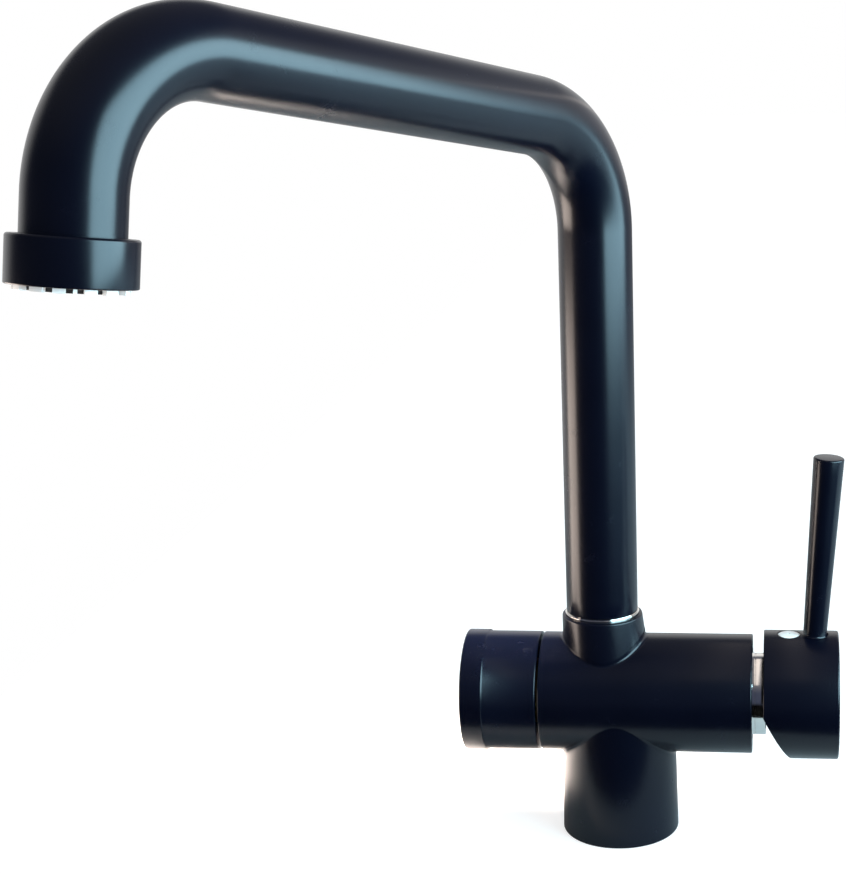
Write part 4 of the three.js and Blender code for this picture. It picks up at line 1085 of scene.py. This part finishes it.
class TAP_OT_filter_knob(PieceOperator, bpy.types.Operator):
    """Builds the filter knob with its raised rim and end cap"""

    bl_idname = "tap.filter_knob"
    bl_label = "Filter Knob"

    cap_radius = 11.9
    cap_recess = 1.7

    def execute(self, context):
        place = self.body_axis(LEFT)
        end = -self.mm("knob_end")
        self.knob(place, end)
        self.cap(place, end)
        return {"FINISHED"}

    def knob(self, place, end):
        knob = bmesh.new()
        start, radius = -self.mm("knob_start"), self.mm("knob_radius")
        recess, recess_radius = end - self.cap_recess, self.cap_radius + 0.3
        inner, floor, rim = radius - 3.2, end - 4.0, end - 9.2
        step, edge, chamfer, fillet = 0.55, 0.75, 0.2, 1
        boss, boss_bore, boss_end = 7.5, 4.2, start + 14
        profile = [
            (0, recess),
            (recess_radius, recess),
            (recess_radius, end - chamfer),
            (recess_radius + chamfer, end),
            *arc_points(radius + step - edge, end - edge, edge, 90, 0),
            (radius + step, rim + 0.1),
            (radius + step - 0.1, rim),
            (radius, rim - step),
            *arc_points(radius - 0.5, start + 0.5, 0.5, 0, -90, 4),
            (inner + chamfer, start),
            (inner, start + chamfer),
            (inner, floor - fillet),
            (inner - fillet, floor),
            (boss, floor),
            (boss, boss_end),
            (boss_bore, boss_end),
            (boss_bore, floor),
            (0, floor),
        ]
        turn_profile(knob, profile, HANDLE_SIDES, place)
        finished_piece(knob, "round_knob", "filter_control", "black_paint", "filter_knob")

    def cap(self, place, end):
        cap = bmesh.new()
        back, front, edge = end - self.cap_recess + 0.05, end - 0.1, 0.4
        profile = [
            (0, back),
            (self.cap_radius, back),
            *arc_points(self.cap_radius - edge, front - edge, edge, 0, 90, 4),
            (0, front),
        ]
        turn_profile(cap, profile, CAP_SIDES, place)
        finished_piece(cap, "knob_cap", "filter_control", "black_paint", "knob_end_cap")


class TAP_OT_inner_pieces(PieceOperator, bpy.types.Operator):
    """Gives each solid that stays as modelled its finish"""

    bl_idname = "tap.inner_pieces"
    bl_label = "Inner Pieces"

    def execute(self, context):
        slots = {part["node"]: part["material_slot"] for part in frame["record"]["subparts"]}
        for name, node in frame["nodes"].items():
            if node.hide_render:
                continue
            node.data.materials.clear()
            node.data.materials.append(finish_of(slots[name]))
        return {"FINISHED"}


# ---- Stage ----


class TAP_OT_stage(bpy.types.Operator):
    """Sets the floor, the light and the camera"""

    bl_idname = "tap.stage"
    bl_label = "Stage"

    frame_width = 846
    frame_height = 873
    focal_pixels = 1776.86
    principal_right = 198.75  # pixels from the frame's middle, because the picture is a crop
    principal_up = 4.36
    camera_place = (0.06802, -0.71495, 0.34044)
    heading = math.radians(-5.1908)
    dip = math.radians(12.9488)
    roll = math.radians(-0.9582)
    # Left, right, front and back. Past the left and front edges, gloss shows a lamp and a dark room.
    floor_edges = (-0.34, 6.0, -0.06, 6.0)

    # The world in gloss: where each part begins and where it is full, by how far backwards or upwards it lies
    backdrop_from_to = (0.0, 0.45)
    backdrop_top = (0.36, 0.58)
    ceiling_from_to = (0.3, 0.9)
    room_from_to = (-0.28, -0.05)
    ceiling_colour = (1, 0.95, 0.88, 1)

    # Each lamp's place, the point it looks at, and its width and height, in metres
    lamps = {
        "right_window": ((0.76, -0.135, 0.38), (-0.059, 0.439, 0.38), (1.19, 0.56)),
        "left_window": ((-0.75, -0.035, -0.12), (0, -0.035, -0.12), (0.47, 0.46)),
        "floor_light": ((-0.13, 0.05, 0.2), (-0.13, 0.05, 0), (0.24, 0.12)),
        "overhead_strip": ((0.066, -0.02, 0.36), (0.066, -0.02, 0), (0.026, 0.6)),
    }
    floor_share = 0.22  # of the left window's power
    floor_spread = math.radians(35)
    warm_light = (1.0, 0.84, 0.74)
    cool_light = (0.5, 0.84, 1.0)
    pale_light = (1.0, 0.9, 0.82)

    def execute(self, context):
        self.camera(context)
        self.floor(context)
        self.world(context)
        self.light(context)
        context.scene.view_settings.view_transform = "Standard"
        return {"FINISHED"}

    def camera(self, context):
        data = bpy.data.cameras.new("camera")
        data.sensor_width = 36.0
        long_side = max(self.frame_width, self.frame_height)
        data.lens = self.focal_pixels * data.sensor_width / long_side
        data.shift_x = -self.principal_right / long_side
        data.shift_y = -self.principal_up / long_side
        camera = bpy.data.objects.new("camera", data)
        turn = (
            Matrix.Rotation(-self.heading, 3, "Z")
            @ Matrix.Rotation(math.pi / 2 - self.dip, 3, "X")
            @ Matrix.Rotation(self.roll, 3, "Z")
        )
        camera.matrix_world = Matrix.Translation(self.camera_place) @ turn.to_4x4()
        context.scene.collection.objects.link(camera)
        context.scene.camera = camera

    def floor(self, context):
        """A pale floor that the camera sees as white, apart from the tap's shadow."""
        sheet = bmesh.new()
        left, right, front, back = self.floor_edges
        middle = Matrix.Translation(((left + right) / 2, (front + back) / 2, 0))
        spread = Matrix.Diagonal((right - left, back - front, 1.0, 1.0))
        bmesh.ops.create_grid(sheet, x_segments=1, y_segments=1, size=0.5, matrix=middle @ spread)
        data = mesh_data(sheet, "floor")
        floor = bpy.data.objects.new("floor", data)
        context.scene.collection.objects.link(floor)
        pale = Finish("floor", context.scene.tap_stage.floor_colour, 0.9, specular=0.0)
        grain = pale.noise(60.0, 3.0)
        pale.feed("Base Color", pale.shaded(grain, 0.98, 1.02))
        camera_ray = pale.node("ShaderNodeLightPath", {}, {})["Is Camera Ray"]
        lift = context.scene.tap_stage.floor_lift
        glow = pale.node("ShaderNodeEmission", {}, {"Color": WHITE, "Strength": lift})[0]
        lit = pale.shader.outputs[0]
        lifted = pale.node("ShaderNodeAddShader", {}, {0: lit, 1: glow})[0]
        seen = pale.node("ShaderNodeMixShader", {}, {0: camera_ray, 1: lit, 2: lifted})[0]
        pale.tree.links.new(seen, pale.tree.nodes["Material Output"].inputs["Surface"])
        data.materials.append(pale.material)

    def world(self, context):
        """White to the camera. Gloss shows a white backdrop behind the tap and a dim room in front of it."""
        settings = context.scene.tap_stage
        world = bpy.data.worlds.new("studio")
        context.scene.world = world
        world.use_nodes = True
        studio = Graph(world.node_tree)
        path = studio.node("ShaderNodeLightPath", {}, {})
        camera_ray, glossy_ray, through_ray = (
            Value(studio.tree, path["Is " + kind + " Ray"]) for kind in ("Camera", "Glossy", "Transmission")
        )
        way = studio.node("ShaderNodeTexCoord", {}, {})["Generated"]
        apart = studio.node("ShaderNodeSeparateXYZ", {}, {0: way})
        y, z = (Value(studio.tree, apart[axis]) for axis in "YZ")
        backdrop = studio.ramp(y, *self.backdrop_from_to) * (1.0 - studio.ramp(z, *self.backdrop_top))
        ceiling = studio.ramp(z, *self.ceiling_from_to) * settings.ceiling
        mirrored = glossy_ray.most(through_ray) * (1.0 - camera_ray)
        room = studio.mixed(studio.ramp(z, *self.room_from_to), BLACK, (*settings.room, 1))
        front = studio.mixed(ceiling, room, self.ceiling_colour)
        seen = studio.mixed(backdrop * settings.backdrop, front, WHITE)
        plain = studio.mixed(camera_ray, (*[settings.fill] * 3, 1), WHITE)
        colour = studio.mixed(mirrored, plain, seen)
        studio.tree.links.new(colour, studio.tree.nodes["Background"].inputs["Color"])

    def light(self, context):
        """A cool window on the right, a low warm one on the left with its light on the floor, and a strip."""
        settings = context.scene.tap_stage
        left = settings.left_power
        self.lamp(context, "right_window", settings.right_power, self.cool_light)
        self.lamp(context, "left_window", left, self.warm_light)
        patch = self.lamp(context, "floor_light", self.floor_share * left, self.warm_light)
        patch.data.spread = self.floor_spread
        patch.visible_glossy = False
        self.lamp(context, "overhead_strip", settings.strip_power, self.pale_light)

    def lamp(self, context, name, power, colour):
        place, target, (width, height) = self.lamps[name]
        data = bpy.data.lights.new(name, "AREA")
        data.shape = "RECTANGLE"
        data.size, data.size_y = width, height
        data.energy = power
        data.color = colour
        lamp = bpy.data.objects.new(name, data)
        lamp.visible_camera = False
        lamp.location = place
        lamp.rotation_euler = (Vector(target) - Vector(place)).to_track_quat("-Z", "Y").to_euler()
        context.scene.collection.objects.link(lamp)
        return lamp


# ---- Panel and registration ----


class TAP_PT_panel(bpy.types.Panel):
    """Lists the tap's sizes, finishes and builders"""

    bl_idname = "TAP_PT_panel"
    bl_label = "Three Way Water Tap"
    bl_space_type = "VIEW_3D"
    bl_region_type = "UI"
    bl_category = "Tap"

    def draw(self, context):
        layout = self.layout
        for operator in OPERATORS:
            layout.operator(operator.bl_idname)
        for title, group in (
            ("Sizes", context.scene.tap_sizes),
            ("Finishes", context.scene.tap_finishes),
            ("Stage", context.scene.tap_stage),
        ):
            box = layout.box()
            box.label(text=title)
            for name in group.__annotations__:
                box.prop(group, name)


GROUPS = {"tap_sizes": TapSizes, "tap_finishes": TapFinishes, "tap_stage": StageSettings}
OPERATORS = (
    TAP_OT_stage,
    TAP_OT_body_casting,
    TAP_OT_seals_and_rings,
    TAP_OT_spout_tube,
    TAP_OT_outlet,
    TAP_OT_cartridge_nut,
    TAP_OT_mixer_handle,
    TAP_OT_filter_knob,
    TAP_OT_inner_pieces,
)


def register():
    for item in (*GROUPS.values(), *OPERATORS, TAP_PT_panel):
        bpy.utils.register_class(item)
    for name, group in GROUPS.items():
        setattr(bpy.types.Scene, name, bpy.props.PointerProperty(type=group))


def unregister():
    for name in GROUPS:
        delattr(bpy.types.Scene, name)
    for item in reversed((*GROUPS.values(), *OPERATORS, TAP_PT_panel)):
        bpy.utils.unregister_class(item)


def main():
    register()
    for operator in OPERATORS:
        category, action = operator.bl_idname.split(".")
        getattr(getattr(bpy.ops, category), action)()


if __name__ == "__main__":
    main()
